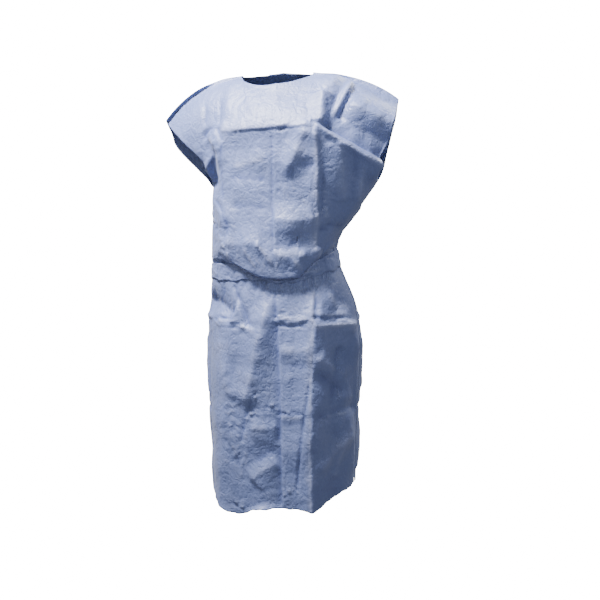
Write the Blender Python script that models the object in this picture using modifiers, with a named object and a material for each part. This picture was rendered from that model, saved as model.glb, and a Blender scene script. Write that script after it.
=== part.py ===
"""A tissue exam gown in its worn, hollow form: two sheets sealed at shoulders and sides, and a waist tie.

Metres, +Z up. The origin is the middle of the neck at shoulder height, where the wearer carries it.
The front faces -Y, the wearer's right is -X and the wearer's left is +X.
The tables are in millimetres, and MM turns them into metres.
"""

import math
from collections import namedtuple

import bmesh
import bpy
import numpy as np
from mathutils import Vector
from mathutils.bvhtree import BVHTree

MM = 0.001

WALL = 1.6
SEAM_GAP = 0.3
SEAM_FIN = 7.0
NECK_EDGE = 3.0
NECK_CORNER_SHARE = 0.31
FIN_RISE_SHARE = 0.2
SEAM_STRIP = 0.012

# The grid of each sheet: columns from the middle to a side seam, and rows from the shoulder to the underarm.
HALF_COLUMNS = 16
SLEEVE_ROWS = 10

# The left half of the back laps over the right half. Shares are of the way from the middle to the side.
LAP_SHARE = 0.125
LAP_RAMP_SHARE = 0.25
LAP_LIFT = WALL + SEAM_GAP + 0.6

# The neck hole in plan: an oval through the two shoulder points and the two low points.
NECK_RIGHT_X = -82.0
NECK_LEFT_X = 84.0
NECK_FRONT_Y = -56.0
NECK_BACK_Y = 44.0

# The sleeve edges run from the shoulder corner down to the underarm, through two points.
RIGHT_CORNER = (-266.0, -5.0, -121.0)
RIGHT_UNDERARM = (-153.0, 2.0, -269.0)
LEFT_CORNER = (279.0, 10.0, -72.0)
LEFT_UNDERARM = (226.0, 4.0, -262.0)

SleeveEdge = namedtuple("SleeveEdge", "name corner upper lower underarm")
SLEEVE_EDGES = (
    SleeveEdge("right_front", RIGHT_CORNER, (-206.0, -48.0, -168.0), (-158.0, -52.0, -216.0), RIGHT_UNDERARM),
    SleeveEdge("right_back", RIGHT_CORNER, (-269.0, 44.0, -160.0), (-220.0, 60.0, -224.0), RIGHT_UNDERARM),
    SleeveEdge("left_front", LEFT_CORNER, (275.0, -40.0, -122.0), (253.0, -48.0, -214.0), LEFT_UNDERARM),
    SleeveEdge("left_back", LEFT_CORNER, (262.0, 48.0, -124.0), (240.0, 58.0, -212.0), LEFT_UNDERARM),
)

# The middle line of each sheet above the underarm level: share of the way down, then y and z.
Line = namedtuple("Line", "share y z")
FRONT_CHEST = (
    Line(0.0, 2.0, 0.0),
    Line(0.16, -30.0, -12.0),
    Line(0.36, -66.0, -44.0),
    Line(0.72, -117.0, -126.0),
    Line(1.0, -121.0, -190.0),
)
BACK_CHEST = (
    Line(0.0, 2.0, 0.0),
    Line(0.16, 32.0, -3.0),
    Line(0.36, 58.0, -20.0),
    Line(0.72, 92.0, -96.0),
    Line(1.0, 102.0, -176.0),
)

# The body below the underarms, level by level and all round: the middle of the front and how far it hangs
# over the waist tie, the middle of the back, the two side seams, how square the section is, and the grid
# rows down to the next level.
Level = namedtuple(
    "Level",
    "name front_y front_z over_y over_z back_y back_z"
    " right_x right_y right_z left_x left_y left_z square rows",
)
LEVELS = (
    Level("underarm", -121, -190, 0, 0, 102, -176, -153, 2, -269, 226, 4, -262, 2.2, 3),
    Level("ribs", -121, -282, 0, 0, 102, -270, -150, 6, -340, 173, 8, -335, 2.5, 3),
    Level("high waist", -124, -358, -7, 0, 98, -350, -151, 8, -388, 147, 10, -366, 2.5, 3),
    Level("blouse", -125, -404, -8, -14, 108, -393, -153, 8, -418, 140, 10, -385, 2.5, 2),
    Level("blouse foot", -121, -418, -8, -44, 107, -410, -154, 8, -430, 138, 10, -395, 2.5, 2),
    Level("tuck", -116, -423, -4, -8, 101, -416, -154, 8, -434, 137, 10, -399, 2.5, 1),
    Level("waist bend", -112, -427, -1, 4, 98, -421, -154, 8, -437, 137, 10, -403, 2.5, 1),
    Level("belt top", -111, -433, 0, 0, 98, -428, -153, 8, -441, 137, 10, -408, 2.5, 2),
    Level("belt foot", -112, -469, 0, 0, 99, -464, -155, 8, -478, 145, 10, -444, 2.5, 2),
    Level("high hip", -121, -548, 0, 0, 120, -548, -162, 6, -552, 183, 12, -540, 2.5, 2),
    Level("hip", -128, -636, 0, 0, 134, -636, -164, 4, -636, 194, 12, -632, 2.5, 4),
    Level("thigh", -130, -780, 0, 0, 131, -780, -163, 4, -780, 189, 10, -776, 2.6, 5),
    Level("hem", -122, -991, 0, 0, 125, -980, -156, 2, -978, 182, 12, -954, 2.6, 0),
)
BELT_TOP = "belt top"
BELT_FOOT = "belt foot"

# The front hangs over the waist tie between these places, growing over its rise and falling away again.
OVERHANG_START_X = -119.0
OVERHANG_RISE = 139.0
OVERHANG_END_X = 128.0
OVERHANG_FALL = 50.0

# The pressed line down the middle of the front runs a little to the wearer's left of the neck.
MIDDLE_X_NECK = 1.0
MIDDLE_X = {"front": 20.0, "back": 6.0}
MIDDLE_SLIDE_SHARE = 0.5

# How a row bends on its way from the middle to its edge.
SHOULDER_SLOPE = 0.35
SHOULDER_DROP_POWER = 4.0
BODY_DROP_POWER = 3.2
CHEST_FLATNESS = 2.6
WRAP_START_SHARE = 0.35

# Where the hem dips, by its x: the half width of the dip and its drop.
HemDip = namedtuple("HemDip", "face x half_width drop")
HEM_DIPS = (
    HemDip("front", -72.0, 46.0, 24.0),
    HemDip("front", 112.0, 24.0, 9.0),
    HemDip("back", -70.0, 50.0, 10.0),
    HemDip("back", 96.0, 46.0, 12.0),
)
HEM_DIP_REACH = 210.0

# The largest folds. Each runs from (x1, z1) to (x2, z2) as seen from its turn in degrees: 0 from the
# front, 90 from the wearer's left and 180 from behind. A positive height is a ridge, a negative a trough.
Fold = namedtuple("Fold", "name turn x1 z1 x2 z2 width height")
FOLDS = {
    "front": (
        Fold("bust crease", 15, -125, -136, 76, -122, 15, 5.0),
        Fold("under bust", 15, -110, -176, 72, -170, 22, -4.0),
        Fold("right pressed line", 0, -96, -30, -94, -400, 17, 4.5),
        Fold("left pressed line", 0, 118, -150, 120, -400, 17, 6.0),
        Fold("middle pressed line", 0, 21, -110, 21, -400, 15, -3.0),
        Fold("right arm pinch", 15, -152, -178, -152, -262, 14, -9.0),
        Fold("right arm puff", 15, -140, -150, -132, -190, 15, 6.0),
        Fold("right rib fold", 15, -146, -282, -112, -330, 15, 5.0),
        Fold("right rib fold foot", 15, -112, -330, -122, -392, 15, 5.0),
        Fold("left arm ridge", 15, 92, -122, 240, -220, 13, 9.0),
        Fold("left arm trough", 15, 100, -160, 205, -250, 18, -8.0),
        Fold("left rib trough", 15, 158, -210, 140, -400, 16, -8.0),
        Fold("left rib ridge", 15, 182, -262, 150, -350, 16, 7.0),
        Fold("left chest trough", 15, 156, -30, 104, -110, 14, -6.0),
        Fold("left chest ridge", 15, 150, -52, 116, -118, 12, 5.0),
        Fold("belly trough", 15, -14, -332, 80, -326, 20, -5.0),
        Fold("belly ridge", 15, -20, -388, 84, -398, 18, 4.0),
        Fold("middle skirt line", 0, 28, -500, 42, -1000, 19, -6.0),
        Fold("left skirt line", 0, 119, -500, 111, -1010, 24, 12.0),
        Fold("right skirt line", 0, -74, -500, -108, -1010, 24, 8.0),
        Fold("left side flat", 45, 64, -520, 60, -1000, 30, -8.0),
        Fold("right side flat", -45, -53, -520, -53, -1000, 26, -6.0),
        Fold("skirt slant", 15, -10, -520, -68, -750, 24, 7.0),
        Fold("upper skirt wrinkle", 15, -130, -564, 74, -552, 16, 4.5),
        Fold("mid skirt wrinkle", 15, 2, -655, 80, -652, 20, -4.5),
        Fold("low skirt wrinkle", 15, -66, -776, 76, -760, 20, 4.5),
        Fold("left side slant", 50, 70, -560, 160, -700, 26, 6.0),
        Fold("left side trough", 50, 60, -640, 150, -820, 26, -6.0),
        Fold("left side low slant", 50, 80, -800, 150, -960, 26, 5.0),
    ),
    "back": (
        Fold("right pressed line", 180, 104, -60, 104, -400, 17, 5.0),
        Fold("left pressed line", 180, -112, -60, -112, -400, 17, 5.0),
        Fold("right arm fold", 180, 190, -150, 120, -330, 17, 7.0),
        Fold("left arm fold", 180, -214, -150, -130, -340, 17, 7.0),
        Fold("shoulder blade crease", 180, -150, -128, 150, -134, 16, 4.5),
        Fold("low back trough", 180, -110, -320, 110, -330, 22, -4.5),
        Fold("right skirt line", 180, 100, -500, 112, -1000, 22, 9.0),
        Fold("left skirt line", 180, -104, -500, -118, -1000, 22, 9.0),
        Fold("right skirt slant", 180, 60, -560, 120, -820, 24, -6.0),
        Fold("left skirt slant", 180, -70, -570, -40, -840, 24, 6.0),
        Fold("upper skirt wrinkle", 180, -150, -566, -10, -558, 16, 4.5),
        Fold("low skirt wrinkle", 180, -120, -778, 130, -806, 22, 4.0),
    ),
}
FOLD_FADE = 42.0
FOLD_FACING_DEPTH = 60.0
FOLD_FACING_START = 0.6
CALM_SEAM_SHARE = 0.10
CALM_BELT_ROWS = 2.0
CALM_SHOULDER_ROWS = 2.0

# The waist tie, its knot at the middle of the back, and its two ends.
BELT_WALL = 1.5
KNOT_WIDTH = 36.0
KNOT_HEIGHT = 38.0
KNOT_DEPTH = 14.0
KNOT_ROUNDING = 5.0
KNOT_BEVEL_SEGMENTS = 2
TIE_WIDTH = 30.0
TIE_KNOT_WIDTH = 14.0
TIE_OPEN_LENGTH = 70.0
TIE_SETTLE_LENGTH = 45.0
TIE_WALL = 1.8
TIE_LENGTH = 200.0
TIE_ROWS = 12
TIE_COLUMNS = 2
TIE_SPREAD = {"tie_right": -0.30, "tie_left": 0.22}
TIE_START_X = {"tie_right": -8.5, "tie_left": 8.5}
TIE_CLEAR = 1.2
TIE_FEELER = 9.0
FEELER_START_Y = 400.0

# How finely the neck hole's edge is searched for, and how near points of a closed ring merge.
NECK_SEARCH_STEPS = 40
BESIDE_NECK_ROW = 1e-6
MERGE_DISTANCE = 0.02

TISSUE_BLUE = (0.26, 0.34, 0.58, 1.0)
TISSUE_ROUGHNESS = 0.72


def clear_scene():
    """Remove every object that the file opened with."""
    for item in list(bpy.data.objects):
        bpy.data.objects.remove(item, do_unlink=True)


def smooth_curve(knots, values):
    """A smooth curve through values at knots that never swings past them, as a function."""
    knots = np.asarray(knots, dtype=float)
    values = np.asarray(values, dtype=float)
    step = np.diff(knots)
    slope = np.diff(values) / step
    tangent = np.zeros_like(values)
    tangent[0] = slope[0]
    tangent[-1] = slope[-1]
    for index in range(1, len(values) - 1):
        before = slope[index - 1]
        after = slope[index]
        if before * after > 0:
            tangent[index] = 2 * before * after / (before + after)

    def at(place):
        place = min(max(place, knots[0]), knots[-1])
        index = min(int(np.searchsorted(knots, place, side="right")) - 1, len(step) - 1)
        local = (place - knots[index]) / step[index]
        square = local * local
        cube = square * local
        start = (2 * cube - 3 * square + 1) * values[index]
        leave = (cube - 2 * square + local) * step[index] * tangent[index]
        end = (3 * square - 2 * cube) * values[index + 1]
        arrive = (cube - square) * step[index] * tangent[index + 1]
        return float(start + leave + end + arrive)

    return at


def ease(value):
    """0 below 0, 1 above 1, and a soft rise between."""
    value = np.clip(value, 0.0, 1.0)
    return value * value * (3.0 - 2.0 * value)


def unit(vectors):
    """The vectors at length 1."""
    return vectors / np.maximum(np.linalg.norm(vectors, axis=-1, keepdims=True), 1e-9)


LEVEL_ROWS = [0]
for body_level in LEVELS[:-1]:
    LEVEL_ROWS.append(LEVEL_ROWS[-1] + body_level.rows)
ROWS = SLEEVE_ROWS + LEVEL_ROWS[-1]
LEVEL_COLUMNS = [column for column in Level._fields if column not in ("name", "rows")]
BODY = {
    column: smooth_curve(LEVEL_ROWS, [getattr(level, column) for level in LEVELS]) for column in LEVEL_COLUMNS
}


def level_row(name):
    """The grid row that a named level lies on."""
    return SLEEVE_ROWS + LEVEL_ROWS[[level.name for level in LEVELS].index(name)]


def sleeve_curve(edge):
    """A sleeve edge as x, y and z curves over the share of its length."""
    points = np.array([edge.corner, edge.upper, edge.lower, edge.underarm])
    lengths = np.linalg.norm(np.diff(points, axis=0), axis=1)
    shares = np.concatenate([[0.0], np.cumsum(lengths)]) / lengths.sum()
    return [smooth_curve(shares, points[:, axis]) for axis in range(3)]


def chest_curve(lines):
    """A middle line above the underarm as y and z curves over its share."""
    shares = [line.share for line in lines]
    ys = smooth_curve(shares, [line.y for line in lines])
    zs = smooth_curve(shares, [line.z for line in lines])
    return ys, zs


SLEEVES = {edge.name: sleeve_curve(edge) for edge in SLEEVE_EDGES}
CHEST = {"front": chest_curve(FRONT_CHEST), "back": chest_curve(BACK_CHEST)}

HalfRow = namedtuple("HalfRow", "middle edge wrap square slope drop_power")


def half_row(face, side, row):
    """The frame of one half of a row: its ends and how it bends between them."""
    if row < SLEEVE_ROWS:
        share = row / SLEEVE_ROWS
        middle_y, middle_z = (curve(share) for curve in CHEST[face])
        edge = [curve(share) for curve in SLEEVES[f"{side}_{face}"]]
        wrap = ease((share - WRAP_START_SHARE) / (1 - WRAP_START_SHARE))
        square = LEVELS[0].square
        drop_power = SHOULDER_DROP_POWER + (BODY_DROP_POWER - SHOULDER_DROP_POWER) * ease(share)
        slope = SHOULDER_SLOPE * (1 - ease(share))
        slide = ease(share / MIDDLE_SLIDE_SHARE)
    else:
        down = row - SLEEVE_ROWS
        middle_y = BODY[f"{face}_y"](down)
        middle_z = BODY[f"{face}_z"](down)
        edge = [BODY[f"{side}_{axis}"](down) for axis in "xyz"]
        wrap = 1.0
        square = BODY["square"](down)
        slope = 0.0
        drop_power = BODY_DROP_POWER
        slide = 1.0
    middle_x = MIDDLE_X_NECK + (MIDDLE_X[face] - MIDDLE_X_NECK) * slide
    return HalfRow((middle_x, middle_y, middle_z), edge, wrap, square, slope, drop_power)


def base_point(face, across, row):
    """A point of the smooth sheet: across is -1 at the wearer's right edge and 1 at the left one."""
    half = half_row(face, "right" if across < 0 else "left", row)
    out = min(abs(across), 1.0)
    turned = math.sin(out * math.pi / 2) ** (2 / half.square)
    reach = (1 - half.wrap) * out + half.wrap * turned
    open_arch = 1 - reach**CHEST_FLATNESS
    closed_arch = max(0.0, 1 - reach**half.square) ** (1 / half.square)
    arch = (1 - half.wrap) * open_arch + half.wrap * closed_arch
    x = half.middle[0] + (half.edge[0] - half.middle[0]) * reach
    y = half.edge[1] + (half.middle[1] - half.edge[1]) * arch
    drop = half.slope * reach + (1 - half.slope) * reach**half.drop_power
    z = half.middle[2] + (half.edge[2] - half.middle[2]) * drop
    if face == "front" and row > SLEEVE_ROWS:
        hang = ease((x - OVERHANG_START_X) / OVERHANG_RISE) * ease((OVERHANG_END_X - x) / OVERHANG_FALL)
        y += BODY["over_y"](row - SLEEVE_ROWS) * hang
        z += BODY["over_z"](row - SLEEVE_ROWS) * hang
    return np.array((x, y, z))


def neck_y(face, x):
    """The neck hole's edge in plan, or 0 beside the hole."""
    low = NECK_FRONT_Y if face == "front" else NECK_BACK_Y
    share = (2 * x - NECK_LEFT_X - NECK_RIGHT_X) / (NECK_LEFT_X - NECK_RIGHT_X)
    return low * math.sqrt(max(0.0, 1 - share * share))


def neck_row(face, across):
    """The row, a fraction, at which the neck hole's edge crosses a column, and 0 beside the hole."""
    low, high = 0.0, float(SLEEVE_ROWS)
    for _ in range(NECK_SEARCH_STEPS):
        middle = (low + high) / 2
        point = base_point(face, across, middle)
        if abs(point[1]) < abs(neck_y(face, point[0])):
            low = middle
        else:
            high = middle
    return low


def neck_corner_across(side):
    """Where the neck hole's corner lies across the shoulder line."""
    half = half_row("front", side, 0)
    corner = NECK_RIGHT_X if side == "right" else NECK_LEFT_X
    share = (corner - half.middle[0]) / (half.edge[0] - half.middle[0])
    return -share if side == "right" else share


def half_columns(side):
    """Shares from the middle to one side, with a point at the neck hole's corner and a thin seam strip."""
    shares = [index / HALF_COLUMNS for index in range(HALF_COLUMNS + 1)]
    corner = abs(neck_corner_across(side))
    nearest = min(range(len(shares)), key=lambda index: abs(shares[index] - corner))
    shares[nearest] = corner
    shares.insert(HALF_COLUMNS, 1 - SEAM_STRIP)
    return [-share for share in reversed(shares)] if side == "right" else shares


def fold_height(folds, points):
    """How far the folds lift the points along the sheet's normal."""
    height = np.zeros(points.shape[:-1])
    for fold in folds:
        turn = math.radians(fold.turn)
        seen_x = points[..., 0] * math.cos(turn) + points[..., 1] * math.sin(turn)
        near = points[..., 0] * math.sin(turn) - points[..., 1] * math.cos(turn)
        run_x = fold.x2 - fold.x1
        run_z = fold.z2 - fold.z1
        length = math.hypot(run_x, run_z)
        off_x = seen_x - fold.x1
        off_z = points[..., 2] - fold.z1
        along = (off_x * run_x + off_z * run_z) / length
        beside = (off_x * run_z - off_z * run_x) / length
        fade = ease((along + FOLD_FADE) / FOLD_FADE) * ease((length + FOLD_FADE - along) / FOLD_FADE)
        facing = ease(near / FOLD_FACING_DEPTH + FOLD_FACING_START)
        height += fold.height * fade * facing * np.exp(-((beside / fold.width) ** 2))
    return height


def calm(columns):
    """1 where folds may show, and 0 at the seams and under the waist tie."""
    rows = np.arange(ROWS + 1)
    from_shoulder = ease(rows / CALM_SHOULDER_ROWS)
    away = np.maximum(level_row(BELT_TOP) - rows, rows - level_row(BELT_FOOT))
    from_belt = ease(away / CALM_BELT_ROWS)
    from_seam = ease((1 - np.abs(np.array(columns))) / CALM_SEAM_SHARE)
    return (from_shoulder * from_belt)[:, None] * from_seam[None, :]


def hem_drop(face, points):
    """How much the hem's dips pull each point down."""
    drop = np.zeros(points.shape[:-1])
    for dip in HEM_DIPS:
        if dip.face == face:
            drop += dip.drop * np.exp(-(((points[..., 0] - dip.x) / dip.half_width) ** 2))
    return drop * ease(1 - (points[..., 2] - LEVELS[-1].front_z) / HEM_DIP_REACH)


def grid_normals(points, face):
    """The outward normal at each point, from the quads around it."""
    quads = unit(np.cross(points[1:, 1:] - points[:-1, :-1], points[:-1, 1:] - points[1:, :-1]))
    total = np.zeros_like(points)
    total[:-1, :-1] += quads
    total[:-1, 1:] += quads
    total[1:, :-1] += quads
    total[1:, 1:] += quads
    return unit(total) * (1 if face == "front" else -1)


def lap_lift(columns):
    """How far the outer sheet of the back stands off the inner one, over the lap and beside it."""
    shares = np.abs(np.array(columns))
    return LAP_LIFT * ease((LAP_SHARE + LAP_RAMP_SHARE - shares) / LAP_RAMP_SHARE)


def sheet_grid(face, columns, lifted=False):
    """The outer points of one sheet, from the shoulder seam's fin down to the hem."""
    points = np.zeros((ROWS + 1, len(columns), 3))
    beside_neck = []
    for index, across in enumerate(columns):
        top = neck_row(face, across)
        beside_neck.append(top < BESIDE_NECK_ROW)
        for row in range(ROWS + 1):
            place = row + top * (1 - row / SLEEVE_ROWS) if row < SLEEVE_ROWS else row
            points[row, index] = base_point(face, across, place)
    points[..., 2] -= hem_drop(face, points)
    height = fold_height(FOLDS[face], points) * calm(columns)
    if lifted:
        height = height + lap_lift(columns)[None, :]
    points = points + grid_normals(points, face) * height[..., None]
    forward = -1 if face == "front" else 1
    beside_neck = np.array(beside_neck)
    points[0, beside_neck, 1] += forward * (WALL + SEAM_GAP / 2)
    fin = points[0] + unit(points[0] - points[1]) * NECK_EDGE
    from_neck = ease((np.abs(np.array(columns)) - NECK_CORNER_SHARE) / FIN_RISE_SHARE)
    rise = NECK_EDGE + (SEAM_FIN - NECK_EDGE) * from_neck[beside_neck]
    fin[beside_neck] = points[0, beside_neck] + rise[:, None] * np.array((0.0, 0.0, 1.0))
    points[SLEEVE_ROWS:, [0, -1], 1] += forward * SEAM_GAP / 2
    return np.concatenate([fin[None], points])


def cloth_piece(name, grid, wall, offset, collection, ring=False, flip=False):
    """A cloth wall: a grid laid on the given points and thickened to one side."""
    row_count, column_count = grid.shape[:2]
    form = bmesh.new()
    bmesh.ops.create_grid(form, x_segments=column_count - 1, y_segments=row_count - 1, size=1.0)
    form.verts.ensure_lookup_table()
    for row in range(row_count):
        for column in range(column_count):
            form.verts[row * column_count + column].co = Vector(grid[row, column]) * MM
    if ring:
        bmesh.ops.remove_doubles(form, verts=form.verts, dist=MERGE_DISTANCE * MM)
    if flip:
        bmesh.ops.reverse_faces(form, faces=form.faces)
    mesh = bpy.data.meshes.new(name)
    form.to_mesh(mesh)
    form.free()
    mesh.shade_smooth()
    mesh.materials.append(tissue(name))
    piece = bpy.data.objects.new(name, mesh)
    collection.objects.link(piece)
    solidify = piece.modifiers.new("wall", "SOLIDIFY")
    solidify.thickness = wall * MM
    solidify.offset = offset
    solidify.use_rim = True
    return piece


def tissue(name):
    """The plain blue tissue of one piece."""
    material = bpy.data.materials.new(name)
    material.use_nodes = True
    shader = material.node_tree.nodes["Principled BSDF"]
    shader.inputs["Base Color"].default_value = TISSUE_BLUE
    shader.inputs["Roughness"].default_value = TISSUE_ROUGHNESS
    shader.inputs["Metallic"].default_value = 0.0
    return material


def belt_grid():
    """The inner points of the waist tie, all round, moved out from the sheets' own points."""
    ahead = half_columns("right") + half_columns("left")[1:]
    behind = list(reversed(ahead))[1:]
    rows = range(level_row(BELT_TOP), level_row(BELT_FOOT) + 1)
    columns = [("front", across) for across in ahead] + [("back", across) for across in behind]
    points = np.array([[base_point(face, across, row) for face, across in columns] for row in rows])
    around = np.roll(points[:, :-1], -1, axis=1) - np.roll(points[:, :-1], 1, axis=1)
    around = np.concatenate([around, around[:, :1]], axis=1)
    outward = unit(np.stack([around[..., 1], -around[..., 0], np.zeros(around.shape[:2])], axis=-1))
    lift = np.array([lap_lift([across])[0] if face == "back" else 0.0 for face, across in columns])
    return points + outward * (SEAM_GAP + lift)[None, :, None]


def back_surface(grids):
    """The back sheets' outer faces as a tree that can be felt from behind."""
    points = []
    quads = []
    for grid in grids:
        row_count, column_count = grid.shape[:2]
        start = len(points)
        points.extend(Vector(point) for point in grid.reshape(-1, 3))
        for row in range(row_count - 1):
            for column in range(column_count - 1):
                corner = start + row * column_count + column
                quads.append((corner, corner + 1, corner + column_count + 1, corner + column_count))
    return BVHTree.FromPolygons(points, quads)


def feel_back(tree, x, z):
    """How far back the cloth reaches round a place, felt from behind."""
    reached = -FEELER_START_Y
    for off_x in (-TIE_FEELER, 0.0, TIE_FEELER):
        for off_z in (-TIE_FEELER, 0.0, TIE_FEELER):
            start = Vector((x + off_x, FEELER_START_Y, z + off_z))
            hit = tree.ray_cast(start, Vector((0.0, -1.0, 0.0)))[0]
            if hit is not None:
                reached = max(reached, hit.y)
    return reached


def tie_grid(name, tree, knot_foot_z, knot_y):
    """One hanging end of the waist tie: narrow in the knot, then flat on the skirt's back and aslant."""
    slant = TIE_SPREAD[name]
    rows = []
    for index in range(TIE_ROWS + 1):
        down = TIE_LENGTH * index / TIE_ROWS
        middle_x = MIDDLE_X["back"] + TIE_START_X[name] + slant * down
        width = TIE_KNOT_WIDTH + (TIE_WIDTH - TIE_KNOT_WIDTH) * ease(down / TIE_OPEN_LENGTH)
        settled = ease(down / TIE_SETTLE_LENGTH)
        row = []
        for column in range(TIE_COLUMNS + 1):
            across = width * (column / TIE_COLUMNS - 0.5)
            x = middle_x + across
            z = knot_foot_z - SEAM_GAP - down + slant * across * settled
            on_cloth = feel_back(tree, x, z) + TIE_CLEAR
            y = on_cloth + max(0.0, knot_y - on_cloth) * (1 - settled)
            row.append((x, y, z))
        rows.append(row)
    return np.array(rows)


def build_knot(collection, belt_points):
    """The flat knot of the waist tie, seated on the tie at the middle of the back."""
    middle_x = MIDDLE_X["back"]
    near = np.abs(belt_points[..., 0] - middle_x) < KNOT_WIDTH
    behind = belt_points[..., 1] > 0
    seat_y = belt_points[near & behind][:, 1].max() + BELT_WALL + SEAM_GAP
    middle_z = belt_points[near & behind][:, 2].mean()
    size = Vector((KNOT_WIDTH, KNOT_DEPTH, KNOT_HEIGHT))
    bpy.ops.mesh.primitive_cube_add(size=1.0)
    knot = bpy.context.active_object
    knot.name = "belt_knot"
    knot.data.name = "belt_knot"
    for vertex in knot.data.vertices:
        vertex.co = Vector(vertex.co[axis] * size[axis] * MM for axis in range(3))
    knot.location = Vector((middle_x, seat_y + KNOT_DEPTH / 2, middle_z)) * MM
    rounding = knot.modifiers.new("rounding", "BEVEL")
    rounding.width = KNOT_ROUNDING * MM
    rounding.segments = KNOT_BEVEL_SEGMENTS
    knot.data.materials.append(tissue("belt_knot"))
    for holder in list(knot.users_collection):
        holder.objects.unlink(knot)
    collection.objects.link(knot)
    return seat_y + (KNOT_DEPTH - TIE_WALL) / 2, middle_z - KNOT_HEIGHT / 2


def main():
    """Build every piece of the gown."""
    clear_scene()
    collection = bpy.data.collections.new("exam_gown")
    bpy.context.scene.collection.children.link(collection)

    right_columns = half_columns("right")
    left_columns = half_columns("left")
    front = sheet_grid("front", right_columns + left_columns[1:])
    lap_columns = [share for share in left_columns if 0 < share < LAP_SHARE] + [LAP_SHARE]
    back_right = sheet_grid("back", right_columns + lap_columns)
    back_left = sheet_grid("back", [-share for share in reversed(lap_columns)] + left_columns, lifted=True)
    cloth_piece("front", front, WALL, -1.0, collection, flip=True)
    cloth_piece("back_right", back_right, WALL, -1.0, collection)
    cloth_piece("back_left", back_left, WALL, -1.0, collection)

    belt = belt_grid()
    cloth_piece("belt", belt, BELT_WALL, 1.0, collection, ring=True, flip=True)
    knot_y, knot_foot_z = build_knot(collection, belt)
    tree = back_surface([back_right, back_left])
    for name in TIE_SPREAD:
        tie = tie_grid(name, tree, knot_foot_z, knot_y)
        cloth_piece(name, tie, TIE_WALL, 1.0, collection)


main()
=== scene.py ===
"""An exam gown of creased blue tissue, worn and hollow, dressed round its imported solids.

Metres, +Z up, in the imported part's frame: the origin is the middle of the neck at shoulder height, the
front faces -Y and the wearer's left is +X. The gown's own tables are in millimetres, and MM turns them into
metres. Those of its cuts, its finish and the studio are in metres.
"""

import math
from collections import namedtuple

import bmesh
import bpy
import numpy as np
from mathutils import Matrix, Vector
from mathutils.bvhtree import BVHTree


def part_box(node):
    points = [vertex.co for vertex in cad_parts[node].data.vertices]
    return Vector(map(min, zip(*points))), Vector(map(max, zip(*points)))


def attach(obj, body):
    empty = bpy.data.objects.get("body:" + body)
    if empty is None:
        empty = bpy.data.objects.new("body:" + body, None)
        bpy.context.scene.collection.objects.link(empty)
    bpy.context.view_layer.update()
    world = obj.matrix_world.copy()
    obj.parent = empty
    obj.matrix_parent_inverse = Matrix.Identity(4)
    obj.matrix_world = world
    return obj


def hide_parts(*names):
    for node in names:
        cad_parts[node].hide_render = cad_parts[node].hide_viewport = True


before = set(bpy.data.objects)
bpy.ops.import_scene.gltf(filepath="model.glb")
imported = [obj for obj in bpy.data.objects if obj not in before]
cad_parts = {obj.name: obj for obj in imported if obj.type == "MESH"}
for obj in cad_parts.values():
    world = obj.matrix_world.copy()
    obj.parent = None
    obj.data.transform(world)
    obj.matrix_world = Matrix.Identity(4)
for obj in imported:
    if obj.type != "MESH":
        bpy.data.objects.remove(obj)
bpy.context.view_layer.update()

MM = 0.001

# The photograph's view: it is 600 pixels square, and each pixel is 2.33 mm on the gown.
IMAGE_PIXELS = 600
PIXEL = 2.33
SENSOR = 36.0
VIEW_TURN = 15.0
VIEW_DISTANCE = 3000.0
VIEW_HEIGHT = -100.0
VIEW_SIDEWAYS = 52.0
VIEW_TARGET_HEIGHT = -527.0

# The sheets as the solids have them.
WALL = 1.6
SOLID_GAP = 0.3
SEAM_FIN = 7.0
NECK_EDGE = 3.0
NECK_CORNER_SHARE = 0.31
FIN_RISE_SHARE = 0.2
SLEEVE_ROWS = 10
LAP_SHARE = 0.125
LAP_RAMP_SHARE = 0.25
LAP_LIFT = WALL + SOLID_GAP + 0.6

# The real tissue, how finely it is laid, and how its edges stand. The sealed strip leans to and fro in
# waves, and leans forward at the tip of the right sleeve.
TISSUE = 0.45
SEAM_GAP = 0.12
SEAM_TUCK = 0.8
ROW_STEP = 3.3
COLUMN_STEP = 3.3
ROW_SAMPLES = (-0.9, -0.45, 0.0, 0.45, 0.9)
TRIES_PER_ROW = 30
COLUMN_TRIES = 801
NECK_HALVINGS = 40
NECK_CORNER_STEPS = (0.004, 0.014, 0.03)
Wave = namedtuple("Wave", "height pace phase")
FIN_ROWS = 3
FIN_LEAN = 0.96
FIN_WAVES = (Wave(1.6, 1 / 31.0, 0.0), Wave(0.8, 1 / 13.0, 0.0))
FIN_TIP_X = -135.0
FIN_TIP_RUN = 50.0
FIN_TIP_LEAN = -7.0

NECK_RIGHT_X = -82.0
NECK_LEFT_X = 84.0
NECK_FRONT_Y = -56.0
NECK_BACK_Y = 44.0

RIGHT_CORNER = (-266.0, -5.0, -121.0)
RIGHT_UNDERARM = (-153.0, 2.0, -269.0)
LEFT_CORNER = (279.0, 10.0, -72.0)
LEFT_UNDERARM = (226.0, 4.0, -262.0)

SleeveEdge = namedtuple("SleeveEdge", "name corner upper lower underarm")
SLEEVE_EDGES = (
    SleeveEdge("right_front", RIGHT_CORNER, (-206, -48, -168), (-158, -52, -216), RIGHT_UNDERARM),
    SleeveEdge("right_back", RIGHT_CORNER, (-269, 44, -160), (-220, 60, -224), RIGHT_UNDERARM),
    SleeveEdge("left_front", LEFT_CORNER, (275, -40, -122), (253, -48, -214), LEFT_UNDERARM),
    SleeveEdge("left_back", LEFT_CORNER, (262, 48, -124), (240, 58, -212), LEFT_UNDERARM),
)

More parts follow.
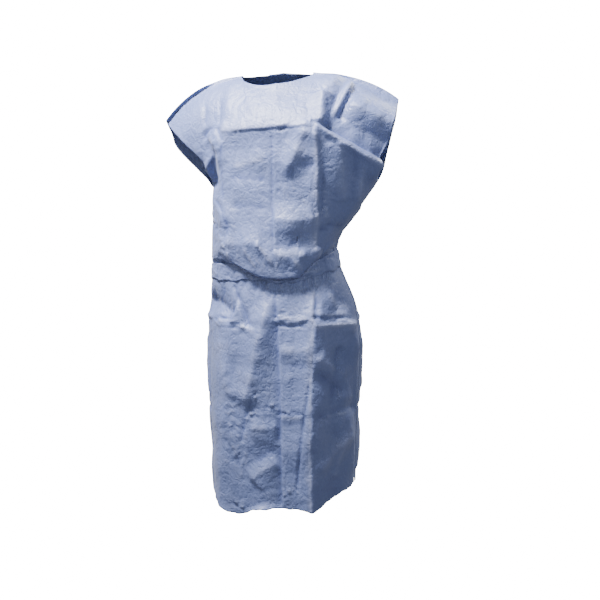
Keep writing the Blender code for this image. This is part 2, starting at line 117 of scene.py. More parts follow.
Line = namedtuple("Line", "share y z")
FRONT_CHEST = (
    Line(0.0, 2.0, 0.0),
    Line(0.16, -30.0, -12.0),
    Line(0.36, -66.0, -44.0),
    Line(0.72, -117.0, -126.0),
    Line(1.0, -121.0, -190.0),
)
BACK_CHEST = (
    Line(0.0, 2.0, 0.0),
    Line(0.16, 32.0, -3.0),
    Line(0.36, 58.0, -20.0),
    Line(0.72, 92.0, -96.0),
    Line(1.0, 102.0, -176.0),
)

# The body below the underarms, level by level and all round, with the rows down to the next level.
Level = namedtuple(
    "Level",
    "name front_y front_z over_y over_z back_y back_z"
    " right_x right_y right_z left_x left_y left_z square rows",
)
LEVELS = (
    Level("underarm", -121, -190, 0, 0, 102, -176, -153, 2, -269, 226, 4, -262, 2.2, 3),
    Level("ribs", -121, -282, 0, 0, 102, -270, -150, 6, -340, 173, 8, -335, 2.5, 3),
    Level("high waist", -124, -358, -7, 0, 98, -350, -151, 8, -388, 147, 10, -366, 2.5, 3),
    Level("blouse", -125, -404, -8, -14, 108, -393, -153, 8, -418, 140, 10, -385, 2.5, 2),
    Level("blouse foot", -121, -418, -8, -44, 107, -410, -154, 8, -430, 138, 10, -395, 2.5, 2),
    Level("tuck", -116, -423, -4, -8, 101, -416, -154, 8, -434, 137, 10, -399, 2.5, 1),
    Level("waist bend", -112, -427, -1, 4, 98, -421, -154, 8, -437, 137, 10, -403, 2.5, 1),
    Level("belt top", -111, -433, 0, 0, 98, -428, -153, 8, -441, 137, 10, -408, 2.5, 2),
    Level("belt foot", -112, -469, 0, 0, 99, -464, -155, 8, -478, 145, 10, -444, 2.5, 2),
    Level("high hip", -121, -548, 0, 0, 120, -548, -162, 6, -552, 183, 12, -540, 2.5, 2),
    Level("hip", -128, -636, 0, 0, 134, -636, -164, 4, -636, 194, 12, -632, 2.5, 4),
    Level("thigh", -130, -780, 0, 0, 131, -780, -163, 4, -780, 189, 10, -776, 2.6, 5),
    Level("hem", -122, -991, 0, 0, 125, -980, -156, 2, -978, 182, 12, -954, 2.6, 0),
)
BELT_TOP = "belt top"
BELT_FOOT = "belt foot"

OVERHANG_START_X = -119.0
OVERHANG_RISE = 139.0
OVERHANG_END_X = 128.0
OVERHANG_FALL = 50.0

MIDDLE_X_NECK = 1.0
MIDDLE_X = {"front": 20.0, "back": 6.0}
MIDDLE_SLIDE_SHARE = 0.5

SHOULDER_SLOPE = 0.35
SHOULDER_DROP_POWER = 4.0
BODY_DROP_POWER = 3.2
CHEST_FLATNESS = 2.6
WRAP_START_SHARE = 0.35

HemDip = namedtuple("HemDip", "face x half_width drop")
HEM_DIPS = (
    HemDip("front", -72.0, 46.0, 24.0),
    HemDip("front", 112.0, 24.0, 9.0),
    HemDip("back", -70.0, 50.0, 10.0),
    HemDip("back", 96.0, 46.0, 12.0),
)
HEM_DIP_REACH = 210.0

# The largest folds, as the solids have them: each runs from (x1, z1) to (x2, z2) as seen from its turn in
# degrees, 0 from the front, 90 from the wearer's left and 180 from behind. Troughs have negative heights.
Fold = namedtuple("Fold", "name turn x1 z1 x2 z2 width height")
FOLDS = {
    "front": (
        Fold("bust crease", 15, -125, -134, 76, -120, 15, 2.5),
        Fold("under bust", 15, -110, -176, 72, -170, 22, -1.5),
        Fold("right pressed line", 0, -96, -30, -94, -400, 17, 4.5),
        Fold("left pressed line", 0, 118, -150, 120, -400, 17, 6.0),
        Fold("middle pressed line", 0, 21, -110, 21, -400, 15, -0.8),
        Fold("right arm pinch", 15, -152, -178, -152, -262, 14, -9.0),
        Fold("right arm puff", 15, -140, -150, -132, -190, 15, 6.0),
        Fold("right rib fold", 15, -146, -282, -112, -330, 15, 5.0),
        Fold("right rib fold foot", 15, -112, -330, -122, -392, 15, 5.0),
        Fold("left arm ridge", 15, 92, -124, 240, -218, 8, 4.0),
        Fold("left arm trough", 15, 130, -96, 250, -160, 24, -8.0),
        Fold("left rib trough", 15, 158, -210, 140, -400, 16, -3.0),
        Fold("left rib ridge", 15, 182, -262, 150, -350, 16, 3.0),
        Fold("left chest trough", 15, 150, -30, 112, -110, 10, -3.0),
        Fold("left chest ridge", 15, 162, -44, 124, -112, 8, 2.0),
        Fold("belly trough", 15, -14, -366, 80, -362, 20, -2.5),
        Fold("belly ridge", 15, -20, -404, 84, -410, 14, 1.5),
        Fold("middle skirt line", 0, 28, -500, 42, -1000, 19, -3.0),
        Fold("left skirt line", 0, 119, -500, 111, -1010, 24, 12.0),
        Fold("right skirt line", 0, -74, -500, -108, -1010, 24, 8.0),
        Fold("left side flat", 45, 64, -520, 60, -1000, 30, -8.0),
        Fold("right side flat", -45, -53, -520, -53, -1000, 26, -6.0),
        Fold("skirt slant", 15, -10, -520, -62, -720, 24, 5.0),
        Fold("upper skirt wrinkle", 15, -130, -564, 74, -552, 14, 1.5),
        Fold("mid skirt wrinkle", 15, 2, -655, 80, -652, 20, -1.0),
        Fold("low skirt wrinkle", 15, -66, -776, 76, -760, 16, 1.5),
        Fold("left side slant", 50, 70, -560, 160, -700, 26, 6.0),
        Fold("left side trough", 50, 60, -640, 150, -820, 26, -6.0),
        Fold("left side low slant", 50, 80, -800, 150, -960, 26, 5.0),
    ),
    "back": (
        Fold("right pressed line", 180, 104, -60, 104, -400, 17, 5.0),
        Fold("left pressed line", 180, -112, -60, -112, -400, 17, 5.0),
        Fold("right arm fold", 180, 190, -150, 120, -330, 17, 7.0),
        Fold("left arm fold", 180, -214, -150, -130, -340, 17, 7.0),
        Fold("shoulder blade crease", 180, -150, -128, 150, -134, 16, 4.5),
        Fold("low back trough", 180, -110, -320, 110, -330, 22, -4.5),
        Fold("right skirt line", 180, 100, -500, 112, -1000, 22, 9.0),
        Fold("left skirt line", 180, -104, -500, -118, -1000, 22, 9.0),
        Fold("right skirt slant", 180, 60, -560, 120, -820, 24, -6.0),
        Fold("left skirt slant", 180, -70, -570, -40, -840, 24, 6.0),
        Fold("upper skirt wrinkle", 180, -150, -566, -10, -558, 16, 4.5),
        Fold("low skirt wrinkle", 180, -120, -778, 130, -806, 22, 4.0),
    ),
}
FOLD_FADE = 42.0
FOLD_SPREAD = 1.75
FACING_DEPTH = 60.0
FACING_START = 0.6

# How near the belt, the shoulder, the side seams, the cuffs and its own edges the cloth starts to lie calm.
CALM_BELT_ROWS = 2.0
CALM_SHOULDER_ROWS = 2.0
CALM_SEAM_SHARE = 0.10
CALM_CUFF_SHARE = 0.02
CALM_CUFF_START = 0.5
CALM_EDGE_SHARE = 0.035
CALM_EDGE_ROWS = 0.5

# How much of a fine trough is left under the belt, and how much of the fine creases the tuck above it takes.
BELT_TROUGH_SHARE = 0.35
TUCK_CALM = 0.75

# The sharp creases of the papery cloth, written from the top down or from left to right as seen from their
# turn. Each has a flat slope to its left, or below it, and one to its right, or above it. Bow is how far its
# middle swings to the left, and fade is how far its ends taper. Valleys have negative heights.
Crease = namedtuple("Crease", "name turn x1 z1 x2 z2 bow left right height fade")
CREASES = {
    "front": (
        Crease("outer right sleeve line", 15, -167, -44, -164, -130, 0, 5, 9, -3.4, 16),
        Crease("inner right sleeve line", 15, -130, -56, -127, -128, 0, 5, 8, -2.8, 16),
        Crease("bust fold", 15, -126, -138, 76, -122, -3, 5, 60, 3.4, 12),
        Crease("bust fold notch", 15, 2, -134, 30, -125, -2, 8, 5, -3.4, 8),
        Crease("right arm pinch", 15, -134, -127, -168, -161, 10, 7, 8, -5.0, 10),
        Crease("right arm pinch tail", 15, -134, -127, -119, -162, 0, 6, 11, -4.4, 8),
        Crease("right arm puff", 15, -152, -144, -138, -174, 0, 10, 9, 5.0, 12),
        Crease("right arm valley", 15, -145, -172, -149, -272, 0, 14, 26, -6.5, 16),
        Crease("right arm valley side", 15, -133, -180, -136, -268, 0, 12, 12, 2.2, 20),
        Crease("right rib line", 15, -147, -284, -115, -382, -20, 7, 10, -3.0, 16),
        Crease("right waist pucker", 15, -123, -370, -110, -402, 0, 6, 7, 2.4, 8),
        Crease("right waist pucker foot", 15, -108, -400, -102, -444, 0, 9, 7, 3.0, 10),
        Crease("right waist tuck", 15, -128, -404, -124, -446, 0, 9, 8, -2.6, 10),
        Crease("middle line", 15, -10, -137, -9, -410, 1, 4, 5, -1.4, 12),
        Crease("left line", 15, 88, -126, 83, -410, -4, 26, 7, 3.2, 14),
        Crease("right line", 15, -122, -150, -119, -300, 0, 6, 6, -1.1, 20),
        Crease("wedge fold", 15, 156, -8, 102, -52, 2, 40, 26, 9.0, 8),
        Crease("wedge fold foot", 15, 103, -46, 100, -122, 1, 34, 30, 16.0, 10),
        Crease("strap fold", 15, 170, -24, 122, -106, 2, 8, 8, 6.5, 8),
        Crease("strap valley", 15, 179, -34, 136, -106, 2, 6, 34, -5.5, 10),
        Crease("arm ridge valley", 15, 94, -116, 268, -214, 0, 5, 66, -12.0, 24),
        Crease("arm hollow edge", 15, 150, -76, 270, -122, 0, 44, 40, 13.0, 16),
        Crease("arm ridge", 15, 84, -120, 250, -219, 0, 12, 5, 4.0, 10),
        Crease("under arm fold", 15, 140, -152, 150, -296, -2, 44, 26, 5.0, 12),
        Crease("under arm valley", 15, 176, -180, 166, -300, 0, 20, 20, -1.5, 18),
        Crease("outer rib fold", 15, 196, -204, 178, -300, 0, 24, 14, 3.5, 20),
        Crease("left rib line", 15, 104, -176, 100, -330, 0, 9, 13, -1.8, 20),
        Crease("chest slant", 15, 78, -100, 17, -246, 2, 30, 46, 12.0, 44),
        Crease("chest slant foot", 15, 22, -218, 92, -206, 0, 40, 22, -5.0, 12),
        Crease("right chest slant", 15, -104, -216, -18, -194, 0, 16, 34, 2.0, 16),
        Crease("right chest level", 15, -114, -236, -16, -240, 2, 12, 22, -1.6, 18),
        Crease("right belly level", 15, -118, -384, -26, -380, 3, 44, 40, 7.5, 16),
        Crease("right belly valley", 15, -108, -300, -16, -304, 0, 16, 26, -1.2, 20),
        Crease("belly fold", 15, -14, -330, 88, -326, 2, 50, 40, 8.0, 14),
        Crease("belly valley", 15, -10, -390, 86, -388, 2, 20, 40, -4.4, 16),
        Crease("belly low fold", 15, -12, -404, 70, -402, 2, 34, 20, 3.4, 14),
        Crease("left block fold", 15, 84, -312, 124, -316, 0, 36, 16, 3.0, 14),
        Crease("left block valley", 15, 84, -352, 124, -352, 0, 12, 30, -2.4, 14),
        Crease("waist spear fold", 15, -46, -378, -6, -428, 0, 12, 9, 4.4, 8),
        Crease("waist spear side", 15, -74, -390, -44, -442, 0, 10, 9, 2.4, 12),
        Crease("blouse tuck", 15, 34, -412, 60, -448, 0, 14, 10, 2.4, 12),
        Crease("left waist fold", 15, 92, -384, 86, -448, 0, 14, 9, 4.2, 12),
        Crease("left waist bulge", 15, 128, -378, 104, -430, 0, 14, 12, 4.4, 14),
        Crease("right hip pleat", 15, -118, -480, -140, -536, 0, 12, 24, -5.0, 14),
        Crease("skirt pleat", 15, -99, -478, -62, -578, 0, 6, 13, -8.0, 10),
        Crease("right hip hollow", 15, -164, -522, -94, -548, -3, 34, 56, -17.0, 8),
        Crease("middle pleat right", 15, -16, -488, -22, -524, 0, 8, 8, -3.4, 12),
        Crease("skirt slant", 15, -4, -470, -74, -776, 5, 40, 34, 9.0, 40),
        Crease("skirt middle line", 15, -4, -482, 9, -990, -3, 24, 4, -4.4, 14),
        Crease("skirt left line", 15, 84, -482, 77, -1008, 6, 26, 8, 2.4, 12),
        Crease("skirt left shade", 15, 88, -478, 84, -556, 0, 5, 12, -8.0, 8),
        Crease("right level a", 15, -142, -556, -92, -557, 2, 3, 5, -2.0, 6),
        Crease("right level b", 15, -142, -565, -78, -562, -2, 4, 5, 1.8, 8),
        Crease("right level c", 15, -128, -577, -88, -578, 1, 3, 4, -1.8, 6),
        Crease("right level slant", 15, -86, -572, -44, -582, 0, 14, 7, 3.0, 6),
        Crease("middle level a", 15, -2, -548, 70, -550, 1, 12, 6, 2.0, 6),
        Crease("middle level b", 15, 30, -560, 66, -556, -2, 4, 5, 1.8, 5),
        Crease("middle level c", 15, -2, -566, 72, -569, 1, 3, 5, -2.6, 6),
        Crease("left level a", 15, 80, -547, 160, -553, 1, 3, 4, -1.6, 6),
        Crease("left level b", 15, 78, -541, 150, -546, 0, 3, 8, 1.0, 8),
        Crease("left level c", 15, 78, -566, 190, -567, 0, 30, 9, 2.8, 8),
        Crease("mid skirt fold", 15, -2, -622, 76, -614, 5, 30, 16, 3.0, 8),
        Crease("mid skirt valley", 15, 6, -670, 74, -657, -4, 20, 34, -1.6, 10),
        Crease("left side slant", 15, 78, -632, 170, -690, 0, 26, 26, 6.5, 20),
        Crease("left side valley", 15, 80, -668, 166, -728, 0, 30, 18, -7.0, 18),
        Crease("low slant valley", 15, -40, -712, -82, -844, 10, 3, 9, -2.6, 12),
        Crease("low level valley", 15, 2, -766, 66, -762, 2, 3, 8, -1.6, 8),
        Crease("low level ledge", 15, 2, -776, 62, -772, 0, 20, 6, 1.2, 10),
        Crease("left narrow valley", 15, 74, -690, 45, -944, 3, 4, 6, -3.4, 16),
        Crease("low slant ridge", 15, -66, -806, 6, -798, 0, 46, 24, 5.6, 14),
        Crease("low slant hollow", 15, -62, -892, 5, -846, 0, 14, 34, -2.4, 20),
        Crease("hem slant ridge", 15, -66, -930, 6, -876, 0, 46, 34, 7.0, 16),
        Crease("right skirt slant", 15, -132, -600, -100, -744, 6, 30, 26, 2.6, 20),
        Crease("left side band", 15, 88, -908, 176, -818, 0, 28, 26, 6.0, 24),
        Crease("left side shade", 15, 80, -776, 190, -764, 0, 18, 28, -6.5, 18),
        Crease("left side hip", 15, 108, -486, 170, -596, -4, 24, 22, 5.0, 20),
        Crease("right side level", -70, -60, -566, 22, -560, 0, 9, 10, 3.0, 12),
        Crease("right side low level", -70, -58, -770, 24, -776, 1, 9, 12, -2.8, 12),
        Crease("right side slant", -70, -30, -600, 10, -752, 3, 24, 18, 4.0, 20),
        Crease("right side foot", -70, 14, -800, -36, -944, 4, 26, 20, -4.0, 20),
        Crease("right rib level", -70, -46, -330, 20, -322, 0, 10, 14, 2.6, 12),
        Crease("left side level", 80, -80, -564, 18, -572, 0, 10, 9, 3.0, 12),
        Crease("left side low level", 80, -84, -774, 18, -768, 1, 12, 10, 2.6, 14),
        Crease("left side fall", 80, -40, -610, -66, -760, 3, 20, 24, -4.0, 18),
        Crease("left side foot", 80, -10, -796, -50, -930, 3, 22, 24, 4.2, 18),
        Crease("left rib level", 80, -60, -340, 10, -350, 0, 12, 14, -2.6, 12),
    ),
    "back": (
        Crease("left pressed line", 180, -112, -64, -110, -404, 2, 24, 7, 3.0, 18),
        Crease("right pressed line", 180, 106, -72, 102, -408, -3, 7, 22, 2.8, 18),
        Crease("left shoulder level", 180, -152, -130, -34, -122, 3, 10, 42, 3.8, 14),
        Crease("right shoulder level", 180, 40, -126, 152, -137, -2, 10, 38, 3.2, 16),
        Crease("left arm fold", 180, -226, -132, -120, -262, 4, 24, 9, 5.5, 16),
        Crease("left arm hollow", 180, -196, -122, -104, -230, 0, 9, 28, -4.6, 16),
        Crease("left arm short fold", 180, -190, -196, -150, -290, -3, 12, 14, 3.6, 14),
        Crease("right arm fold", 180, 212, -138, 114, -268, 3, 9, 24, 5.0, 16),
        Crease("right arm hollow", 180, 172, -146, 108, -214, 2, 26, 9, -4.4, 14),
        Crease("right arm short fold", 180, 176, -214, 146, -300, 2, 14, 12, 3.2, 14),
        Crease("left blade slant", 180, -96, -140, -44, -214, 3, 28, 20, 3.2, 14),
        Crease("right blade slant", 180, 96, -144, 58, -212, -2, 18, 26, 2.8, 14),
        Crease("left back level", 180, -142, -226, -30, -220, 2, 10, 26, -2.4, 16),
        Crease("right back level", 180, 32, -222, 148, -234, 0, 12, 20, 2.4, 16),
        Crease("left low back level", 180, -136, -316, -34, -322, 0, 30, 16, 3.0, 14),
        Crease("right low back level", 180, 30, -324, 136, -314, 2, 24, 14, 2.6, 18),
        Crease("left low back hollow", 180, -130, -362, -40, -356, 0, 20, 28, -2.8, 16),
        Crease("right low back hollow", 180, 34, -366, 130, -372, 0, 16, 24, -2.6, 14),
        Crease("left waist spear", 180, -84, -364, -52, -436, 0, 14, 9, 5.0, 10),
        Crease("left waist side", 180, -122, -380, -104, -438, 0, 10, 8, 3.4, 10),
        Crease("right waist spear", 180, 96, -372, 64, -438, 0, 9, 13, 4.6, 10),
        Crease("right waist side", 180, 42, -392, 52, -440, 0, 8, 10, 3.0, 10),
        Crease("left hip pleat", 180, -92, -488, -116, -590, 2, 10, 12, -4.4, 14),
        Crease("left hip short pleat", 180, -52, -488, -46, -546, 0, 8, 10, -3.8, 12),
        Crease("right hip pleat", 180, 84, -488, 110, -584, -2, 12, 10, -4.2, 14),
        Crease("right hip short pleat", 180, 128, -490, 134, -552, 0, 9, 8, 3.4, 12),
        Crease("left skirt slant", 180, -66, -500, -116, -726, -4, 30, 46, 6.0, 12),
        Crease("right skirt slant", 180, 52, -500, 34, -724, 3, 44, 26, 5.6, 12),
        Crease("left skirt line", 180, -104, -560, -118, -985, -4, 9, 30, 3.6, 14),
        Crease("right skirt line", 180, 102, -560, 112, -985, 4, 28, 9, 3.6, 14),
        Crease("left level a", 180, -150, -558, -64, -563, 2, 8, 8, 4.0, 8),
        Crease("left level b", 180, -120, -574, -30, -570, -2, 7, 9, -3.6, 8),
        Crease("right level a", 180, 30, -566, 96, -560, 0, 8, 10, 3.8, 8),
        Crease("right level b", 180, 74, -578, 156, -570, 2, 9, 7, -3.6, 8),
        Crease("left mid fold", 180, -104, -618, -30, -628, -4, 32, 22, 3.8, 12),
        Crease("right mid fold", 180, 36, -640, 112, -628, 4, 34, 20, 3.6, 12),
        Crease("left low level", 180, -128, -766, -36, -774, 2, 9, 9, 4.2, 8),
        Crease("left low level shade", 180, -116, -784, -52, -788, 0, 8, 8, -3.2, 8),
        Crease("right low level", 180, 28, -778, 128, -766, -3, 8, 10, 4.0, 8),
        Crease("left foot slant", 180, -46, -806, -104, -904, 5, 30, 24, 4.4, 14),
        Crease("right foot slant", 180, 44, -820, 98, -918, 3, 26, 34, 4.8, 14),
        Crease("left hem fold", 180, -92, -918, -28, -936, 0, 34, 18, 3.6, 12),
        Crease("right hem crumple", 180, 60, -962, 74, -990, 0, 7, 6, 3.4, 5),
        Crease("left hem crumple", 180, -66, -960, -82, -986, 0, 6, 7, 3.2, 5),
        Crease("left side slant", 110, -44, -600, -10, -740, 2, 22, 18, 4.0, 16),
        Crease("left side level", 110, -70, -568, 20, -562, 0, 9, 10, 3.2, 12),
        Crease("left side low level", 110, -70, -770, 20, -776, 1, 10, 9, -3.0, 12),
        Crease("left side foot", 110, 6, -800, -40, -930, -3, 24, 20, 4.4, 16),
        Crease("left rib side", 110, -44, -300, 0, -386, 2, 14, 12, 3.6, 14),
        Crease("right side slant", -110, 40, -596, 4, -738, 2, 20, 22, 4.2, 16),
        Crease("right side level", -110, -20, -562, 70, -570, 0, 9, 10, -3.0, 12),
        Crease("right side low level", -110, -20, -774, 70, -768, 1, 10, 9, 3.4, 12),
        Crease("right side foot", -110, -8, -806, 38, -936, 3, 20, 24, -4.2, 16),
        Crease("right rib side", -110, 40, -306, 2, -384, 2, 12, 14, -3.4, 14),
    ),
}

# Bands of short seeded wrinkles that gather along a line: the band's half width, how many there are, and how
# long, wide and high the largest are. Tilt is how far, in radians, they turn from the line.
Band = namedtuple("Band", "name turn x1 z1 x2 z2 spread count length width height tilt")
BANDS = {
    "front": (
        Band("right level", 15, -144, -560, -80, -570, 9, 20, 26, 3.6, 2.3, 0.25),
        Band("right level end", 15, -86, -570, -38, -582, 6, 10, 20, 4.0, 2.0, 0.30),
        Band("middle level", 15, -4, -552, 74, -560, 9, 22, 24, 3.6, 2.2, 0.30),
        Band("left level", 15, 78, -548, 166, -556, 6, 12, 28, 4.0, 1.4, 0.15),
        Band("low middle level", 15, -4, -762, 66, -762, 6, 10, 20, 4.0, 1.4, 0.25),
        Band("low slant", 15, -72, -786, -6, -744, 8, 22, 22, 4.0, 1.9, 0.35),
        Band("right crinkles", 15, -112, -760, -84, -900, 16, 46, 16, 4.0, 1.7, 1.20),
        Band("low slant line", 15, -44, -716, -80, -830, 8, 16, 24, 4.0, 1.4, 0.30),
        Band("hem crumple", 15, -100, -988, -78, -990, 8, 12, 16, 4.0, 2.0, 1.00),
        Band("hem bunch", 15, 10, -948, 50, -940, 12, 20, 14, 4.0, 1.5, 1.00),
        Band("right rib crinkles", 15, -140, -330, -118, -400, 12, 24, 18, 4.0, 1.5, 0.80),
        Band("right arm crinkles", 15, -150, -136, -122, -168, 9, 12, 16, 4.0, 1.2, 0.90),
        Band("strap foot crinkles", 15, 92, -118, 118, -112, 7, 10, 14, 4.0, 1.2, 0.70),
        Band("belly crinkles", 15, 10, -250, 76, -330, 22, 30, 24, 4.0, 1.0, 0.80),
        Band("left line bits", 15, 100, -290, 106, -330, 14, 16, 18, 4.0, 1.3, 0.90),
        Band("waist front", 15, -120, -404, 70, -440, 14, 40, 16, 4.0, 0.9, 0.90),
    ),
    "back": (
        Band("left level", 180, -150, -560, -40, -566, 8, 24, 26, 4.0, 1.8, 0.25),
        Band("right level", 180, 30, -564, 156, -566, 8, 26, 26, 4.0, 1.8, 0.25),
        Band("left low level", 180, -130, -768, -40, -776, 8, 18, 24, 4.0, 1.6, 0.30),
        Band("right low level", 180, 30, -774, 130, -768, 8, 20, 24, 4.0, 1.6, 0.30),
        Band("left crinkles", 180, -96, -800, -112, -930, 16, 34, 16, 4.0, 1.5, 1.20),
        Band("right crinkles", 180, 104, -700, 96, -860, 16, 34, 16, 4.0, 1.5, 1.20),
        Band("left waist", 180, -130, -384, -20, -428, 14, 30, 22, 4.5, 1.4, 0.90),
        Band("right waist", 180, 20, -424, 124, -384, 14, 30, 22, 4.5, 1.4, 0.90),
        Band("hem crumple", 180, 56, -968, 80, -970, 8, 12, 16, 4.0, 1.8, 1.00),
    ),
}
BAND_SEED = 400
BAND_GATHERED = 0.6
BAND_LENGTHS = (0.45, 1.0)
BAND_WIDTHS = (0.6, 1.3)
BAND_HEIGHTS = (0.4, 1.0)
BAND_MARK = 0.6

# The profile of a crease, and how its line meanders and its height swells. Its mark, which is strongest on a
# narrow crease, drives the tissue's tone: paler on a ridge, where the pressed tissue whitens, and deeper in
# a valley, which is painted shade.
CREASE_ROUND = 1.3
CREASE_CURVE = 1.25
CREASE_END_WIDTH = 0.4
CREASE_PHASE = 2.4
CREASE_MEANDER = 0.4
CREASE_MEANDER_WAVE = 64.0
CREASE_SWELL = 0.10
CREASE_SWELL_WAVE = 47.0
CREASE_SWELL_PHASE = 4.08
CREASE_NARROW = 12.0
MARK_POWER = 3

# Gathers that the waist tie draws into the cloth above and below it, all as troughs, each with painted shade
# in the tone along it.
GATHERS = {"front": 22, "back": 26}
GATHER_SEEDS = {"front": 5, "back": 9}
GATHER_PLACE = (0.15, 0.85)
GATHER_WIDTH = (4.0, 9.0)
GATHER_DEPTH = (1.2, 4.2)
GATHER_UP = (16.0, 46.0)
GATHER_DOWN = (30.0, 96.0)
GATHER_SLANT = 0.22
GATHER_SLANT_UP = 0.6
GATHER_FLARE = 0.8
# How strongly a gather's trough darkens the tone: painted shade.
GATHER_SHADE = 0.5

# The half width and the length of the cut that the gathers and crumples are spread over.
HALF_CUT = 290.0
CUT_LENGTH = 1080.0

# Small crumples all over, and a slow swell that keeps the flats from being true.
CRUMPLES = {"front": 420, "back": 440}
CRUMPLE_SEEDS = {"front": 11, "back": 23}
CRUMPLE_TURNS = (0.0, 0.5, 0.5, 0.25, 0.75)
CRUMPLE_TILT = 0.28
CRUMPLE_LENGTH = (12.0, 54.0)
CRUMPLE_WIDTH = (2.6, 8.0)
CRUMPLE_HEIGHT = (0.2, 0.9)
CRUMPLE_MARK = 0.35
SWELL_WAVES = 10
SWELL_LENGTH = (80.0, 190.0)
SWELL_HEIGHT = 0.4

# Where the hem's edge curls outward, and the waves along it.
HemCurl = namedtuple("HemCurl", "face x half_width out")
HEM_CURLS = (
    HemCurl("front", -2.0, 28.0, 10.0),
    HemCurl("front", -96.0, 16.0, 3.0),
    HemCurl("back", 60.0, 30.0, 5.0),
    HemCurl("back", -90.0, 24.0, 4.0),
)
HEM_CURL_REACH = 15.0
EDGE_WAVES = (Wave(1.1, 1 / 9.0, 0.0), Wave(0.66, 1 / 4.1, 1.0))
EDGE_WAVE_REACH = 12.0

# The waist tie, folded from the same tissue. Its pulls are creases, most of them along it.
BELT_THICKNESS = 0.9
BELT_WIDTH = 36.0
BELT_STEP = 2.6
BELT_ROWS_ACROSS = 17
BELT_BULGE = 0.8
BELT_TOP_WAVES = (Wave(0.10, 5, 0.7), Wave(0.06, 13, 0.0), Wave(0.04, 31, 0.0))
BELT_FOOT_WAVES = (Wave(0.10, 6, 2.0), Wave(0.07, 17, 1.0))
BELT_SEED = 31
BELT_PULLS = 150
PULL_TURNS = (0.0, 0.0, 0.12, -0.12, 0.5)
PULL_TILT = 0.12
PULL_LENGTH = (14.0, 60.0)
PULL_WIDTH = (2.5, 7.0)
PULL_HEIGHT = (0.3, 1.0)
PULL_MARK = 0.5
PULL_LOWEST = -0.2
PULL_HIGHEST = 1.6
BELT_JOIN_LENGTH = 10.0

# Its knot, a bunch of folds with a band wound once round it.
KNOT_ROWS = 30
KNOT_COLUMNS = 64
KNOT_POLE = 0.02
KNOT_RIDGES = 7
KNOT_RIDGE_TWIST = 1.2
KNOT_RIDGE_PHASE = 0.4
KNOT_RIDGE_POWER = 0.7
KNOT_SWELL = 0.14
KNOT_SQUARE = (0.7, 0.75, 0.8)
KNOT_MARK = 0.8
KNOT_WALL = 0.3
WRAP_ROWS = 12
WRAP_COLUMNS = 72
WRAP_WIDTH = 17.0
WRAP_TURN = -0.42
WRAP_WALL = 0.6
WRAP_SWELL = 0.16
WRAP_SWELL_PHASE = 0.6
WRAP_INSET = (0.94, 0.2, 0.4)
WRAP_SQUARE = (0.7, 0.6)
WRAP_FOLD_OUT = (0.5, 0.7)
WrapFold = namedtuple("WrapFold", "place below above height")
WRAP_FOLDS = (WrapFold(1.5, 4.0, 3.0, 0.9), WrapFold(-5.0, 3.0, 3.0, 0.6))

# Its two ends, which hang from the knot and settle on the skirt's back.
TIE_THICKNESS = 0.7
TIE_WIDTH = 30.0
TIE_LENGTH = 200.0
TIE_ROWS = 90
TIE_COLUMNS = 18
TIE_KNOT_WIDTH = 14.0
TIE_OPEN_LENGTH = 70.0
TIE_SETTLE_LENGTH = 45.0
TIE_SPREAD = {"tie_right": -0.30, "tie_left": 0.22}
TIE_START_X = {"tie_right": -8.5, "tie_left": 8.5}
TIE_CLEAR = 0.9
TIE_STAND = 1.6
TIE_GATHER = 1.6
TIE_GATHER_TURNS = 4.5
TIE_GATHER_LENGTH = 90.0
TIE_RIPPLE = 0.7
TIE_RIPPLE_PACE = 9.0
TIE_RIPPLE_SWELL = 23.0
TIE_RIPPLE_SLANT = 3.0
TIE_FOLD = 0.9
TIE_FOLD_PLACE = 3.0
TIE_FOLD_WIDTH = (5.0, 4.0)
TIE_MARK = 0.5
TIE_FEELER = 3.0
FEELER_START_Y = 400.0

# Points of a closed ring that lie closer than this are one.
RING_JOIN = 0.02

# What each sheet was cut to before it was sealed and worn, in metres, and the area of its cut.
Cut = namedtuple("Cut", "width length area")

# The tissue's finish: its blues from a valley's painted shade to a pressed crease, which its random mottling
# also spans, its crinkles in two sizes with how high each stands, its crepe, and its embossed dots. Scales
# are for places in metres, and bumps have a strength and a distance.
Noise = namedtuple("Noise", "scale detail roughness")
# The deep blue is reached mostly where a valley's negative crease mark paints shade; the random mottling
# touches it too.
TISSUE_DEEP_AND_SHADE = (0.068, 0.098, 0.265)
TISSUE_MAIN = (0.132, 0.175, 0.372)
TISSUE_PALE = (0.270, 0.310, 0.500)
TONE_PLACES = (0.16, 0.5, 0.92)
TONE_START = 0.20
TONE_CLOUD = 0.35
TONE_GRAIN = 0.25
# The crease mark's share of the tone: paler on pressed ridges, darker in valleys as painted shade.
TONE_CREASE_AND_SHADE = 0.22
CLOUD = Noise(16.0, 5.0, 0.62)
GRAIN = Noise(260.0, 3.0, 0.7)
ROUGH_LEAST = 0.42
ROUGH_GRAIN = 0.16
SPECULAR = 0.75
SHEEN = 0.12
SHEEN_ROUGHNESS = 0.45
SHEEN_TINT = (0.80, 0.85, 1.0, 1.0)
CRINKLE_SIZES = ((34.0, 0.38), (90.0, 0.20))
CRINKLE_FLAT = 0.35
CRINKLE_BEND_SCALE = 22.0
CRINKLE_BEND_DETAIL = 2.0
CRINKLE_BEND = 0.03
CREPE = Noise(210.0, 4.0, 0.65)
CREPE_HEIGHT = 0.12
CRINKLE_BUMP = (0.8, 0.0080)
DOT_SCALE = 420.0
DOT_JITTER = 0.12
DOT_EDGE = (0.20, 0.42)
DOT_BUMP = (0.25, 0.0002)

